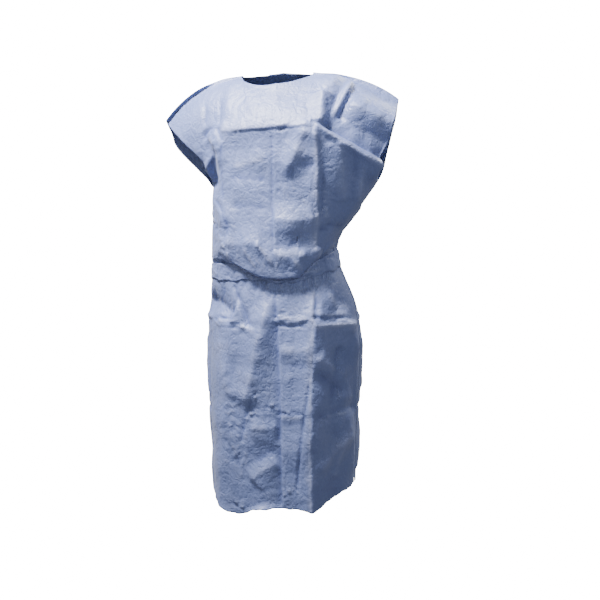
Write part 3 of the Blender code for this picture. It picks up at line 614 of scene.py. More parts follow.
# The studio, in metres, and its lights with their places and targets.
FLOOR_HEIGHT = -1.33
STUDIO_RADIUS = 7.0
STUDIO_BEND = 2.5
STUDIO_HEIGHT = 5.0
STUDIO_GLOW = 20.0
FLOOR_WHITE = (0.80, 0.81, 0.82)
FLOOR_ROUGHNESS = 0.9
FLOOR_STEPS = 96
FLOOR_BEND_STEPS = 12
SKY_COLOUR = (0.93, 0.95, 1.0)
SKY_STRENGTH = 0.29
Light = namedtuple("Light", "name place target size power colour")
LIGHTS = (
    Light("key_above", (-0.50, -0.68, 1.12), (0.0, -0.05, -0.20), 0.32, 144.0, (1.0, 0.97, 0.96)),
    Light("front_fill", (-2.4, -2.2, -0.1), (0.0, 0.0, -0.6), 1.0, 15.0, (0.92, 0.95, 1.0)),
    Light("left_fill", (1.1, -1.2, 0.15), (0.15, -0.05, -0.30), 0.5, 6.0, (0.88, 0.93, 1.0)),
    Light("back_key", (0.9, 1.7, 1.3), (0.0, 0.05, -0.40), 0.7, 50.0, (1.0, 1.0, 1.0)),
)


def ease(value):
    """0 below 0, 1 above 1, and a soft rise between."""
    value = np.clip(value, 0.0, 1.0)
    return value * value * (3.0 - 2.0 * value)


def unit(vectors):
    """The vectors at length 1."""
    return vectors / np.maximum(np.linalg.norm(vectors, axis=-1, keepdims=True), 1e-9)


def waves(place, terms):
    """A sum of sine waves at a place."""
    return sum(wave.height * np.sin(place * wave.pace + wave.phase) for wave in terms)


def smooth_curve(knots, values):
    """A smooth curve through values at knots that never swings past them, as a function of arrays."""
    knots = np.asarray(knots, dtype=float)
    values = np.asarray(values, dtype=float)
    step = np.diff(knots)
    slope = np.diff(values) / step
    tangent = np.zeros_like(values)
    tangent[0] = slope[0]
    tangent[-1] = slope[-1]
    for index in range(1, len(values) - 1):
        before = slope[index - 1]
        after = slope[index]
        if before * after > 0:
            tangent[index] = 2 * before * after / (before + after)

    def at(place):
        place = np.clip(place, knots[0], knots[-1])
        index = np.clip(np.searchsorted(knots, place, side="right") - 1, 0, len(step) - 1)
        local = (place - knots[index]) / step[index]
        square = local * local
        cube = square * local
        start = (2 * cube - 3 * square + 1) * values[index]
        leave = (cube - 2 * square + local) * step[index] * tangent[index]
        end = (3 * square - 2 * cube) * values[index + 1]
        arrive = (cube - square) * step[index] * tangent[index + 1]
        return start + leave + end + arrive

    return at


LEVEL_ROWS = [0]
for body_level in LEVELS[:-1]:
    LEVEL_ROWS.append(LEVEL_ROWS[-1] + body_level.rows)
ROWS = SLEEVE_ROWS + LEVEL_ROWS[-1]
BODY = {
    column: smooth_curve(LEVEL_ROWS, [getattr(level, column) for level in LEVELS])
    for column in Level._fields
    if column not in ("name", "rows")
}


def level_row(name):
    """The row that a named level lies on."""
    return SLEEVE_ROWS + LEVEL_ROWS[[level.name for level in LEVELS].index(name)]


def sleeve_curve(edge):
    """A sleeve edge as x, y and z curves over the share of its length."""
    points = np.array([edge.corner, edge.upper, edge.lower, edge.underarm], dtype=float)
    lengths = np.linalg.norm(np.diff(points, axis=0), axis=1)
    shares = np.concatenate([[0.0], np.cumsum(lengths)]) / lengths.sum()
    return [smooth_curve(shares, points[:, axis]) for axis in range(3)]


def chest_curve(lines):
    """A middle line above the underarm as y and z curves over its share."""
    shares = [line.share for line in lines]
    heights = [line.z for line in lines]
    return smooth_curve(shares, [line.y for line in lines]), smooth_curve(shares, heights)


SLEEVES = {edge.name: sleeve_curve(edge) for edge in SLEEVE_EDGES}
CHEST = {"front": chest_curve(FRONT_CHEST), "back": chest_curve(BACK_CHEST)}


def base_points(face, across, row):
    """Points of the smooth sheet: across is -1 at the wearer's right edge and 1 at the left one."""
    across, row = np.broadcast_arrays(np.asarray(across, dtype=float), np.asarray(row, dtype=float))
    share = np.clip(row / SLEEVE_ROWS, 0.0, 1.0)
    down = np.maximum(row - SLEEVE_ROWS, 0.0)
    chest = row < SLEEVE_ROWS
    middle_y = np.where(chest, CHEST[face][0](share), BODY[f"{face}_y"](down))
    middle_z = np.where(chest, CHEST[face][1](share), BODY[f"{face}_z"](down))
    middle_x = MIDDLE_X_NECK + (MIDDLE_X[face] - MIDDLE_X_NECK) * ease(share / MIDDLE_SLIDE_SHARE)
    edge = []
    for axis in range(3):
        sides = {}
        for side in ("right", "left"):
            sleeve = SLEEVES[f"{side}_{face}"][axis](share)
            sides[side] = np.where(chest, sleeve, BODY[f"{side}_{'xyz'[axis]}"](down))
        edge.append(np.where(across < 0, sides["right"], sides["left"]))
    square = BODY["square"](down)
    wrap = ease((share - WRAP_START_SHARE) / (1 - WRAP_START_SHARE))
    slope = SHOULDER_SLOPE * (1 - ease(share))
    drop_power = SHOULDER_DROP_POWER + (BODY_DROP_POWER - SHOULDER_DROP_POWER) * ease(share)
    out = np.minimum(np.abs(across), 1.0)
    turned = np.sin(out * math.pi / 2) ** (2 / square)
    reach = (1 - wrap) * out + wrap * turned
    open_arch = 1 - reach**CHEST_FLATNESS
    closed_arch = np.maximum(0.0, 1 - reach**square) ** (1 / square)
    arch = (1 - wrap) * open_arch + wrap * closed_arch
    x = middle_x + (edge[0] - middle_x) * reach
    y = edge[1] + (middle_y - edge[1]) * arch
    z = middle_z + (edge[2] - middle_z) * (slope * reach + (1 - slope) * reach**drop_power)
    if face == "front":
        hang = ease((x - OVERHANG_START_X) / OVERHANG_RISE) * ease((OVERHANG_END_X - x) / OVERHANG_FALL)
        y = y + BODY["over_y"](down) * hang
        z = z + BODY["over_z"](down) * hang
    return np.stack([x, y, z], axis=-1)


def neck_rows(face, across):
    """The row at which the neck hole's edge crosses each column, and 0 beside the hole."""
    low_y = NECK_FRONT_Y if face == "front" else NECK_BACK_Y
    low = np.zeros(len(across))
    high = np.full(len(across), float(SLEEVE_ROWS))
    for _ in range(NECK_HALVINGS):
        middle = (low + high) / 2
        point = base_points(face, across, middle)
        share = (2 * point[:, 0] - NECK_LEFT_X - NECK_RIGHT_X) / (NECK_LEFT_X - NECK_RIGHT_X)
        inside = np.abs(point[:, 1]) < abs(low_y) * np.sqrt(np.maximum(0.0, 1 - share * share))
        low = np.where(inside, middle, low)
        high = np.where(inside, high, middle)
    return low


def slid_rows(rows, top):
    """Rows moved down so that each column starts at the neck hole's edge."""
    rows = np.asarray(rows, dtype=float)
    return np.where(rows < SLEEVE_ROWS, rows + top * (1 - rows / SLEEVE_ROWS), rows)


def even(places, lengths, step):
    """Places spread about a step apart along their measured lengths, with both ends kept."""
    count = max(1, round(lengths[-1] / step))
    return np.interp(np.linspace(0.0, lengths[-1], count + 1), lengths, places)


def run_lengths(points):
    """The length along a line of points, from 0."""
    return np.concatenate([[0.0], np.cumsum(np.linalg.norm(np.diff(points, axis=0), axis=1))])


def fine_rows(face):
    """Rows about one step apart down the sheet, on average over its width."""
    places = np.linspace(0.0, ROWS, TRIES_PER_ROW * ROWS + 1)
    total = np.zeros(len(places))
    for across in ROW_SAMPLES:
        top = neck_rows(face, np.array([across]))[0]
        total += run_lengths(base_points(face, across, slid_rows(places, top)))
    return even(places, total / len(ROW_SAMPLES), ROW_STEP)


def fine_columns(face, start, end):
    """Columns about one step apart round the hips, with extra ones at the neck hole's corners."""
    places = np.linspace(start, end, COLUMN_TRIES)
    hips = base_points(face, places, float(level_row("hip")))
    columns = list(even(places, run_lengths(hips), COLUMN_STEP))
    for side, corner_x in ((-1, NECK_RIGHT_X), (1, NECK_LEFT_X)):
        shoulder = base_points(face, np.array([side * 1.0, 0.0]), 0.0)
        corner = side * (corner_x - shoulder[1, 0]) / (shoulder[0, 0] - shoulder[1, 0])
        if start < corner < end:
            nearest = int(np.argmin(np.abs(np.array(columns) - corner)))
            columns[nearest] = corner
            columns += [corner - side * share for share in NECK_CORNER_STEPS]
    return np.array(sorted(columns))


def seen_from(turn, points):
    """How far right a point lies as seen from a turn, and how near it is."""
    angle = math.radians(turn)
    right = points[..., 0] * math.cos(angle) + points[..., 1] * math.sin(angle)
    near = points[..., 0] * math.sin(angle) - points[..., 1] * math.cos(angle)
    return right, near


def along_line(line, points):
    """How far along a fold's or crease's line each point lies, how far to its left or below, and the
    line's length, with a share that says how squarely the cloth faces the line's turn."""
    seen_x, near = seen_from(line.turn, points)
    run_x = line.x2 - line.x1
    run_z = line.z2 - line.z1
    length = math.hypot(run_x, run_z)
    off_x = seen_x - line.x1
    off_z = points[..., 2] - line.z1
    along = (off_x * run_x + off_z * run_z) / length
    beside = (off_x * run_z - off_z * run_x) / length
    return along, beside, length, ease(near / FACING_DEPTH + FACING_START)


def fold_height(folds, points):
    """How far the large folds lift the points along the sheet's normal."""
    height = np.zeros(points.shape[:-1])
    for fold in folds:
        along, beside, length, facing = along_line(fold, points)
        fade = ease((along + FOLD_FADE) / FOLD_FADE) * ease((length + FOLD_FADE - along) / FOLD_FADE)
        width = fold.width * FOLD_SPREAD
        height += fold.height * fade * facing * pressed(beside, width, width)
    return height


def pressed(beside, left, right):
    """The profile of one sharp crease: 1 on its line, down to 0 at the foot of either slope."""
    width = np.where(beside > 0, left, right)
    rounding = CREASE_ROUND / width
    away = np.sqrt((beside / width) ** 2 + rounding**2) - rounding
    return np.clip(1.0 - away, 0.0, 1.0) ** CREASE_CURVE


def crease_height(creases, points):
    """How far the sharp creases lift the points, and how strongly each point is creased, signed so that
    valleys darken the tone as painted shade.
    """
    height = np.zeros(points.shape[:-1])
    mark = np.zeros(points.shape[:-1])
    for order, crease in enumerate(creases):
        along, beside, length, facing = along_line(crease, points)
        share = np.clip(along / length, 0.0, 1.0)
        meander = np.sin(along * (2 * math.pi / CREASE_MEANDER_WAVE) + CREASE_PHASE * order)
        beside = beside - 4 * crease.bow * share * (1 - share) - CREASE_MEANDER * meander
        taper = ease(along / crease.fade) * ease((length - along) / crease.fade)
        width = CREASE_END_WIDTH + (1 - CREASE_END_WIDTH) * taper
        swell = np.sin(along * (2 * math.pi / CREASE_SWELL_WAVE) + CREASE_SWELL_PHASE * order)
        shape = pressed(beside, crease.left * width, crease.right * width) * taper * facing
        shape = shape * (1 + CREASE_SWELL * swell)
        height += crease.height * shape
        narrow = CREASE_NARROW / max(CREASE_NARROW, min(crease.left, crease.right))
        # A ridge marks the tissue paler, where the pressed fibres whiten, and a valley deeper, which is
        # painted shade.
        mark += np.sign(crease.height) * narrow * np.maximum(shape, 0.0) ** MARK_POWER
    return height, mark


def wrinkle(off_u, off_v, turn, length, left, right):
    """The profile of one short straight wrinkle about its own middle, tapered to both its ends."""
    along = off_u * math.cos(turn) + off_v * math.sin(turn)
    beside = off_v * math.cos(turn) - off_u * math.sin(turn)
    return pressed(beside, left, right) * ease(1.0 - (2 * along / length) ** 2)


def band_height(bands, points):
    """The short wrinkles of the bands, and how strongly each point is creased, signed so that troughs darken
    the tone as painted shade.
    """
    height = np.zeros(points.shape[:-1])
    mark = np.zeros(points.shape[:-1])
    for order, band in enumerate(bands):
        random = np.random.default_rng(BAND_SEED + order)
        along, beside, length, facing = along_line(band, points)
        for _ in range(band.count):
            off_along = along - random.uniform(0.0, length)
            off_beside = beside - random.normal(0.0, band.spread * BAND_GATHERED)
            turn = random.normal(0.0, band.tilt)
            reach = band.length * random.uniform(*BAND_LENGTHS)
            left = band.width * random.uniform(*BAND_WIDTHS)
            right = band.width * random.uniform(*BAND_WIDTHS)
            rise = band.height * random.uniform(*BAND_HEIGHTS) * random.choice([-1.0, 1.0])
            near = (np.abs(off_along) < reach) & (np.abs(off_beside) < reach) & (facing > 0)
            shape = wrinkle(off_along[near], off_beside[near], turn, reach, left, right) * facing[near]
            height[near] += rise * shape
            # Raised wrinkles mark the tissue paler; sunken ones mark it deeper, which is painted shade.
            mark[near] += BAND_MARK * np.sign(rise) * shape**MARK_POWER
    return height, mark


def crumple_height(face, u, v):
    """Small seeded creases and a slow swell over the flat sheet, whose places are u across and v down."""
    random = np.random.default_rng(CRUMPLE_SEEDS[face])
    height = np.zeros(u.shape)
    mark = np.zeros(u.shape)
    for _ in range(CRUMPLES[face]):
        off_u = u - random.uniform(-HALF_CUT, HALF_CUT)
        off_v = v - random.uniform(0.0, CUT_LENGTH)
        turn = random.choice(CRUMPLE_TURNS) * math.pi + random.normal(0.0, CRUMPLE_TILT)
        length = random.uniform(*CRUMPLE_LENGTH)
        left = random.uniform(*CRUMPLE_WIDTH)
        right = random.uniform(*CRUMPLE_WIDTH)
        rise = random.uniform(*CRUMPLE_HEIGHT) * random.choice([-1.0, 1.0])
        near = (np.abs(off_u) < length) & (np.abs(off_v) < length)
        shape = wrinkle(off_u[near], off_v[near], turn, length, left, right)
        height[near] += rise * shape
        # Raised crumples mark the tissue paler; sunken ones mark it deeper, which is painted shade.
        mark[near] += CRUMPLE_MARK * np.sign(rise) * shape**MARK_POWER
    for _ in range(SWELL_WAVES):
        turn = random.uniform(0.0, math.pi)
        length = random.uniform(*SWELL_LENGTH)
        phase = random.uniform(0.0, 2 * math.pi)
        along = u * math.cos(turn) + v * math.sin(turn)
        height += SWELL_HEIGHT * np.sin(along * (2 * math.pi / length) + phase)
    return height, mark


def gather_height(face, u, rows, v):
    """The troughs that the waist tie draws in the cloth, on the flat sheet, and the painted shade that
    darkens the tone along them.
    """
    random = np.random.default_rng(GATHER_SEEDS[face])
    top_v = v[np.argmin(np.abs(rows[:, 0] - level_row(BELT_TOP)))]
    foot_v = v[np.argmin(np.abs(rows[:, 0] - level_row(BELT_FOOT)))]
    above = np.maximum(top_v - v, 0.0)
    below = np.maximum(v - foot_v, 0.0)
    count = GATHERS[face]
    height = np.zeros(u.shape)
    mark = np.zeros(u.shape)
    for index in range(count):
        centre = HALF_CUT * (2 * (index + random.uniform(*GATHER_PLACE)) / count - 1)
        left = random.uniform(*GATHER_WIDTH)
        right = random.uniform(*GATHER_WIDTH)
        depth = random.uniform(*GATHER_DEPTH)
        up = random.uniform(*GATHER_UP)
        down = random.uniform(*GATHER_DOWN)
        slant = random.normal(0.0, GATHER_SLANT)
        beside = u - centre - slant * (below - GATHER_SLANT_UP * above)
        taper = ease(1 - above / up) * ease(1 - below / down)
        flare = 1 + GATHER_FLARE * (below / down + above / up)
        shape = pressed(beside, left * flare, right * flare) * taper
        height -= depth * shape
        # Each trough darkens the tone: painted shade.
        mark -= GATHER_SHADE * shape**MARK_POWER
    return height, mark


def hem_drop(face, points):
    """How much the hem's dips pull each point down."""
    drop = np.zeros(points.shape[:-1])
    for dip in HEM_DIPS:
        if dip.face == face:
            drop += dip.drop * np.exp(-(((points[..., 0] - dip.x) / dip.half_width) ** 2))
    return drop * ease(1 - (points[..., 2] - LEVELS[-1].front_z) / HEM_DIP_REACH)


def hem_curl(face, points, from_hem):
    """How far the hem's edge curls outward at each point."""
    curl = np.zeros(points.shape[:-1])
    for place in HEM_CURLS:
        if place.face == face:
            curl += place.out * np.exp(-(((points[..., 0] - place.x) / place.half_width) ** 2))
    return curl * np.clip(1 - from_hem / HEM_CURL_REACH, 0.0, 1.0) ** 2


def grid_normals(points, face):
    """The outward normal at each point, from the quads around it."""
    quads = unit(np.cross(points[1:, 1:] - points[:-1, :-1], points[:-1, 1:] - points[1:, :-1]))
    total = np.zeros_like(points)
    total[:-1, :-1] += quads
    total[:-1, 1:] += quads
    total[1:, :-1] += quads
    total[1:, 1:] += quads
    return unit(total) * (1 if face == "front" else -1)


def lap_lift(columns):
    """How far the outer sheet of the back stands off the inner one, over the lap and beside it."""
    return LAP_LIFT * ease((LAP_SHARE + LAP_RAMP_SHARE - np.abs(columns)) / LAP_RAMP_SHARE)


Sheet = namedtuple("Sheet", "points u v mark")


def flat_places(points, columns):
    """Where each point lies on the flat cut: u across from the middle column, and v down from the top."""
    middle = int(np.argmin(np.abs(columns)))
    u = np.zeros(points.shape[:2])
    u[:, 1:] = np.cumsum(np.linalg.norm(np.diff(points, axis=1), axis=2), axis=1)
    v = np.zeros(points.shape[:2])
    v[1:] = np.cumsum(np.linalg.norm(np.diff(points, axis=0), axis=2), axis=0)
    return u - u[:, middle : middle + 1], v


def cloth_height(face, points, columns, rows, u, v):
    """How far all folds and creases lift the cloth, and how strongly each point is creased, with painted
    shade where the marks of valleys and troughs are negative. The cloth is calm under the belt, along the
    shoulder and towards its sides."""
    from_belt = ease(np.maximum(level_row(BELT_TOP) - rows, rows - level_row(BELT_FOOT)) / CALM_BELT_ROWS)
    side_share = 1 - np.abs(columns)[None, :]
    below_arm = ease(rows - SLEEVE_ROWS + 1.0)
    from_seam = ease(side_share / CALM_SEAM_SHARE)
    from_cuff = np.maximum(from_seam, ease(side_share / CALM_CUFF_SHARE + CALM_CUFF_START))
    from_side = from_seam * below_arm + (1 - below_arm) * from_cuff
    from_edge = ease(side_share / CALM_EDGE_SHARE) * below_arm + (1 - below_arm)

    large = fold_height(FOLDS[face], points) * ease(rows / CALM_SHOULDER_ROWS) * from_belt * from_side
    sharp, sharp_mark = crease_height(CREASES[face], points)
    banded, banded_mark = band_height(BANDS[face], points)
    gather, gather_shade = gather_height(face, u, rows, v)
    small, small_mark = crumple_height(face, u, v)
    fine = (sharp + banded + small) * ease(rows / CALM_EDGE_ROWS) * from_edge
    tucked = ease(rows - level_row("blouse foot") + 1.0) * ease(level_row(BELT_TOP) - rows)
    fine = fine * (1 - TUCK_CALM * tucked)
    trough_share = BELT_TROUGH_SHARE + (1 - BELT_TROUGH_SHARE) * from_belt
    height = large + np.where(fine > 0, fine * from_belt, fine * trough_share) + gather * from_edge
    height = np.where(from_belt < 1, np.minimum(height, height * from_belt), height)
    return height, (sharp_mark + banded_mark + gather_shade + small_mark) * from_edge


def part_at_seams(face, columns, rows, points, beside_neck):
    """Part the edges that are sealed to the other face, and tuck the front's sides behind the back's."""
    forward = -1 if face == "front" else 1
    points[0, beside_neck, 1] += forward * (TISSUE + SEAM_GAP / 2)
    below = rows[:, 0] >= SLEEVE_ROWS
    for edge in (0, -1):
        if abs(columns[edge]) > 1 - 1e-9:
            points[below, edge, 1] += forward * SEAM_GAP / 2
            if face == "front":
                tuck = SEAM_TUCK * ease(rows[below, edge] - SLEEVE_ROWS)
                points[below, edge, 0] -= np.sign(columns[edge]) * tuck
                points[below, edge, 1] += tuck


def lay_sheet(face, columns, lifted=False):
    """One creased sheet from the shoulder seam's strip down to the hem, with its flat places."""
    row_places = fine_rows(face)
    top = neck_rows(face, columns)
    points = base_points(face, columns[None, :], slid_rows(row_places[:, None], top[None, :]))
    points[..., 2] -= hem_drop(face, points)
    rows = np.repeat(row_places[:, None], len(columns), axis=1)
    u, v = flat_places(points, columns)
    from_hem = np.maximum(v[-1:] - v, 0.0)

    height, mark = cloth_height(face, points, columns, rows, u, v)
    if lifted:
        height = height + lap_lift(columns)[None, :]
    height = height + hem_curl(face, points, from_hem)
    points = points + grid_normals(points, face) * height[..., None]
    points[..., 2] += waves(u, EDGE_WAVES) * ease(1.0 - from_hem / EDGE_WAVE_REACH)

    beside_neck = top < 1e-6
    part_at_seams(face, columns, rows, points, beside_neck)
    return with_fin(columns, Sheet(points, u, v, mark), beside_neck)


def with_fin(columns, sheet, beside_neck):
    """The sheet with its top edge: the sealed strip that stands on the shoulder, and the neck's cut edge."""
    points = sheet.points
    from_neck = ease((np.abs(columns) - NECK_CORNER_SHARE) / FIN_RISE_SHARE)
    rise = NECK_EDGE + (SEAM_FIN - NECK_EDGE) * from_neck
    lean = FIN_LEAN + waves(points[0, :, 0], FIN_WAVES)
    lean = lean + FIN_TIP_LEAN * ease((FIN_TIP_X - points[0, :, 0]) / FIN_TIP_RUN)
    slope_up = unit(points[0] - points[1]) * NECK_EDGE
    strips = []
    for index in range(FIN_ROWS, 0, -1):
        share = index / FIN_ROWS
        strip = points[0] + slope_up * share
        standing = points[0].copy()
        standing[:, 2] += rise * share
        standing[:, 1] += lean * share * share
        strip[beside_neck] = standing[beside_neck]
        strips.append(strip)
    fin_v = -rise[None, :] * np.linspace(1.0, 1.0 / FIN_ROWS, FIN_ROWS)[:, None]
    return Sheet(
        np.concatenate([np.array(strips), points]),
        np.concatenate([sheet.u[:FIN_ROWS], sheet.u]),
        np.concatenate([fin_v, sheet.v]),
        np.concatenate([np.zeros((FIN_ROWS, len(columns))), sheet.mark]),
    )


def cloth_piece(name, sheet, wall, offset, material, ring=False, flip=False):
    """A thin cloth wall: a grid laid on the given points, with its flat places as UVs."""
    row_count, column_count = sheet.points.shape[:2]
    form = bmesh.new()
    bmesh.ops.create_grid(form, x_segments=column_count - 1, y_segments=row_count - 1, size=1.0)
    flat = form.loops.layers.uv.new("cut")
    mark = form.verts.layers.float.new("crease")
    form.verts.ensure_lookup_table()
    places = sheet.points.reshape(-1, 3) * MM
    us = sheet.u.ravel() * MM
    vs = sheet.v.ravel() * MM
    marks = sheet.mark.ravel()
    for index, vertex in enumerate(form.verts):
        vertex.co = places[index]
        vertex[mark] = marks[index]
    for face in form.faces:
        for loop in face.loops:
            loop[flat].uv = (us[loop.vert.index], -vs[loop.vert.index])
    if ring:
        bmesh.ops.remove_doubles(form, verts=form.verts, dist=RING_JOIN * MM)
    if flip:
        bmesh.ops.reverse_faces(form, faces=form.faces)
    mesh = bpy.data.meshes.new(name)
    form.to_mesh(mesh)
    form.free()
    mesh.shade_smooth()
    mesh.materials.append(material)
    piece = bpy.data.objects.new(name, mesh)
    bpy.context.scene.collection.objects.link(piece)
    wall_maker = piece.modifiers.new("wall", "SOLIDIFY")
    wall_maker.thickness = wall * MM
    wall_maker.offset = offset
    wall_maker.use_rim = True
    return piece


def belt_pulls(u, v):
    """The creases along the waist tie, calm at its join, and how strongly each point is creased, signed so
    that troughs darken the tone as painted shade.
    """
    random = np.random.default_rng(BELT_SEED)
    girth = u[0, -1]
    height = np.zeros(u.shape)
    mark = np.zeros(u.shape)
    for _ in range(BELT_PULLS):
        off_u = (u - random.uniform(0.0, girth) + girth / 2) % girth - girth / 2
        off_v = v - random.uniform(0.0, BELT_WIDTH)
        turn = random.choice(PULL_TURNS) * math.pi + random.normal(0.0, PULL_TILT)
        length = random.uniform(*PULL_LENGTH)
        rise = random.uniform(*PULL_HEIGHT) * random.choice([-1.0, 1.0])
        shape = wrinkle(off_u, off_v, turn, length, random.uniform(*PULL_WIDTH), random.uniform(*PULL_WIDTH))
        height += rise * shape
        # Raised pulls mark the tie paler; sunken ones mark it deeper, which is painted shade.
        mark += PULL_MARK * np.sign(rise) * shape**MARK_POWER
    from_join = ease(np.minimum(u, girth - u) / BELT_JOIN_LENGTH)
    return height * from_join, mark * from_join


def belt_sheet():
    """The inner points of the waist tie, all round, moved out from the sheets' own points."""
    places = np.linspace(-1.0, 1.0, COLUMN_TRIES)
    middle_row = (level_row(BELT_TOP) + level_row(BELT_FOOT)) / 2
    ahead = even(places, run_lengths(base_points("front", places, middle_row)), BELT_STEP)
    behind = even(places, run_lengths(base_points("back", places, middle_row)), BELT_STEP)[::-1][1:]
    faces = ["front"] * len(ahead) + ["back"] * len(behind)
    across = np.concatenate([ahead, behind])
    share = np.linspace(0.0, 1.0, BELT_ROWS_ACROSS)
    count = len(across)
    round_way = np.arange(count) / (count - 1) * 2 * math.pi
    top = level_row(BELT_TOP) + waves(round_way, BELT_TOP_WAVES)
    foot = level_row(BELT_FOOT) + waves(round_way, BELT_FOOT_WAVES)
    points = np.zeros((len(share), count, 3))
    for index, face in enumerate(faces):
        rows = top[index] + (foot[index] - top[index]) * share
        points[:, index] = base_points(face, np.full(len(share), across[index]), rows)
    around = np.roll(points[:, :-1], -1, axis=1) - np.roll(points[:, :-1], 1, axis=1)
    around = np.concatenate([around, around[:, :1]], axis=1)
    outward = unit(np.stack([around[..., 1], -around[..., 0], np.zeros(around.shape[:2])], axis=-1))
    steps = np.linalg.norm(np.diff(points, axis=1), axis=2).mean(axis=0)
    u = np.repeat(np.concatenate([[0.0], np.cumsum(steps)])[None, :], len(share), axis=0)
    v = np.repeat((share * BELT_WIDTH)[:, None], count, axis=1)
    pulls, mark = belt_pulls(u, v)
    lift = np.where(np.array(faces) == "back", lap_lift(across), 0.0)
    bulge = BELT_BULGE * np.sin(math.pi * share)[:, None]
    height = SOLID_GAP + lift[None, :] + bulge + np.clip(pulls, PULL_LOWEST - bulge, PULL_HIGHEST)
    return Sheet(points + outward * height[..., None], u, v, mark)


def back_surface(sheets):
    """The back sheets' outer faces as a tree that can be felt from behind."""
    points = []
    quads = []
    for sheet in sheets:
        row_count, column_count = sheet.points.shape[:2]
        start = len(points)
        points.extend(Vector(point) for point in sheet.points.reshape(-1, 3))
        for row in range(row_count - 1):
            for column in range(column_count - 1):
                corner = start + row * column_count + column
                quads.append((corner, corner + 1, corner + column_count + 1, corner + column_count))
    return BVHTree.FromPolygons(points, quads)


def feel_back(tree, x, z):
    """How far back the cloth reaches round a place, felt from behind."""
    reached = -FEELER_START_Y
    for off_x in (-TIE_FEELER, 0.0, TIE_FEELER):
        for off_z in (-TIE_FEELER, 0.0, TIE_FEELER):
            start = Vector((x + off_x, FEELER_START_Y, z + off_z))
            hit = tree.ray_cast(start, Vector((0.0, -1.0, 0.0)))[0]
            if hit is not None:
                reached = max(reached, hit.y)
    return reached


def tie_sheet(name, tree, knot_foot_z, knot_y):
    """One hanging end of the waist tie: gathered in the knot, then flat on the skirt's back and aslant."""
    slant = TIE_SPREAD[name]
    points = np.zeros((TIE_ROWS + 1, TIE_COLUMNS + 1, 3))
    mark = np.zeros(points.shape[:2])
    for index in range(TIE_ROWS + 1):
        down = TIE_LENGTH * index / TIE_ROWS
        middle_x = MIDDLE_X["back"] + TIE_START_X[name] + slant * down
        width = TIE_KNOT_WIDTH + (TIE_WIDTH - TIE_KNOT_WIDTH) * ease(down / TIE_OPEN_LENGTH)
        settled = float(ease(down / TIE_SETTLE_LENGTH))
        for column in range(TIE_COLUMNS + 1):
            share = column / TIE_COLUMNS - 0.5
            across = width * share
            x = middle_x + across
            z = knot_foot_z - SOLID_GAP - down + slant * across * settled
            on_cloth = feel_back(tree, x, z) + TIE_CLEAR
            gathered = TIE_GATHER * math.sin(share * TIE_GATHER_TURNS * math.pi)
            gathered = gathered * (1 - ease(down / TIE_GATHER_LENGTH))
            rippled = TIE_RIPPLE * math.sin(down / TIE_RIPPLE_PACE + TIE_RIPPLE_SLANT * share)
            rippled = rippled * math.sin(down / TIE_RIPPLE_SWELL)
            fold = TIE_FOLD * float(pressed(np.array(across - TIE_FOLD_PLACE), *TIE_FOLD_WIDTH))
            y = on_cloth + (max(0.0, knot_y - on_cloth) + TIE_STAND) * (1 - settled)
            y += gathered + abs(rippled) + fold * settled
            points[index, column] = (x, max(y, on_cloth), z)
            mark[index, column] = TIE_MARK * fold
    across = TIE_WIDTH * np.linspace(-0.5, 0.5, TIE_COLUMNS + 1)
    u, v = np.meshgrid(across, np.linspace(0.0, TIE_LENGTH, TIE_ROWS + 1))
    return Sheet(points, u, v, mark)


def squared(value, power):
    """A sine or cosine with its corners squared, for powers under 1."""
    return np.sign(value) * np.abs(value) ** power


def knot_sheet(middle, size):
    """The knot's body: a bunch of folded tissue, closed round its own waist and creased to its middle."""
    polar = np.linspace(KNOT_POLE, math.pi - KNOT_POLE, KNOT_ROWS + 1)[:, None]
    turn = np.linspace(0.0, 2 * math.pi, KNOT_COLUMNS + 1)[None, :]
    ridge = np.sin(turn * KNOT_RIDGES / 2 + KNOT_RIDGE_TWIST * np.cos(polar) + KNOT_RIDGE_PHASE)
    ridge = np.abs(ridge) ** KNOT_RIDGE_POWER
    swell = 1 - KNOT_SWELL + KNOT_SWELL * ridge * np.sin(polar)
    round_it, along_it, down_it = KNOT_SQUARE
    out = squared(np.sin(polar), round_it) * swell
    x = out * squared(np.cos(turn), along_it) * size[0] / 2
    y = out * squared(np.sin(turn), along_it) * size[1] / 2
    z = squared(np.cos(polar), down_it) * size[2] / 2 * np.ones_like(turn)
    points = np.stack([x + middle[0], y + middle[1], z + middle[2]], axis=-1)
    u = np.repeat(turn * size[0] / 4, KNOT_ROWS + 1, axis=0)
    v = np.repeat(polar * size[2] / 4, KNOT_COLUMNS + 1, axis=1)
    return Sheet(points, u, v, KNOT_MARK * ridge**4)


def knot_wrap_sheet(middle, size):
    """The band that is wound once round the knot, aslant, with two folds along it."""
    share = np.linspace(-0.5, 0.5, WRAP_ROWS + 1)[:, None]
    turn = np.linspace(0.0, 2 * math.pi, WRAP_COLUMNS + 1)[None, :]
    fold = 0.0
    for line in WRAP_FOLDS:
        fold = fold + line.height * pressed(share * WRAP_WIDTH - line.place, line.below, line.above)
    waist = WRAP_WIDTH * (1 + WRAP_SWELL * np.sin(turn + WRAP_SWELL_PHASE))
    narrow_x, proud_x, inset_y = WRAP_INSET
    reach_x = (size[0] / 2 + proud_x + fold * WRAP_FOLD_OUT[0]) * narrow_x
    reach_y = size[1] / 2 - inset_y + fold * WRAP_FOLD_OUT[1]
    x = squared(np.cos(turn), WRAP_SQUARE[0]) * reach_x
    y = squared(np.sin(turn), WRAP_SQUARE[1]) * reach_y
    z = np.clip(share * waist + x * math.tan(WRAP_TURN), -size[2] / 2, size[2] / 2)
    points = np.stack([x + middle[0], y + middle[1], z + middle[2]], axis=-1)
    u = np.repeat(turn * size[0] / 3, WRAP_ROWS + 1, axis=0)
    v = np.repeat(share * WRAP_WIDTH, WRAP_COLUMNS + 1, axis=1)
    return Sheet(points, u, v, fold * np.ones_like(turn))


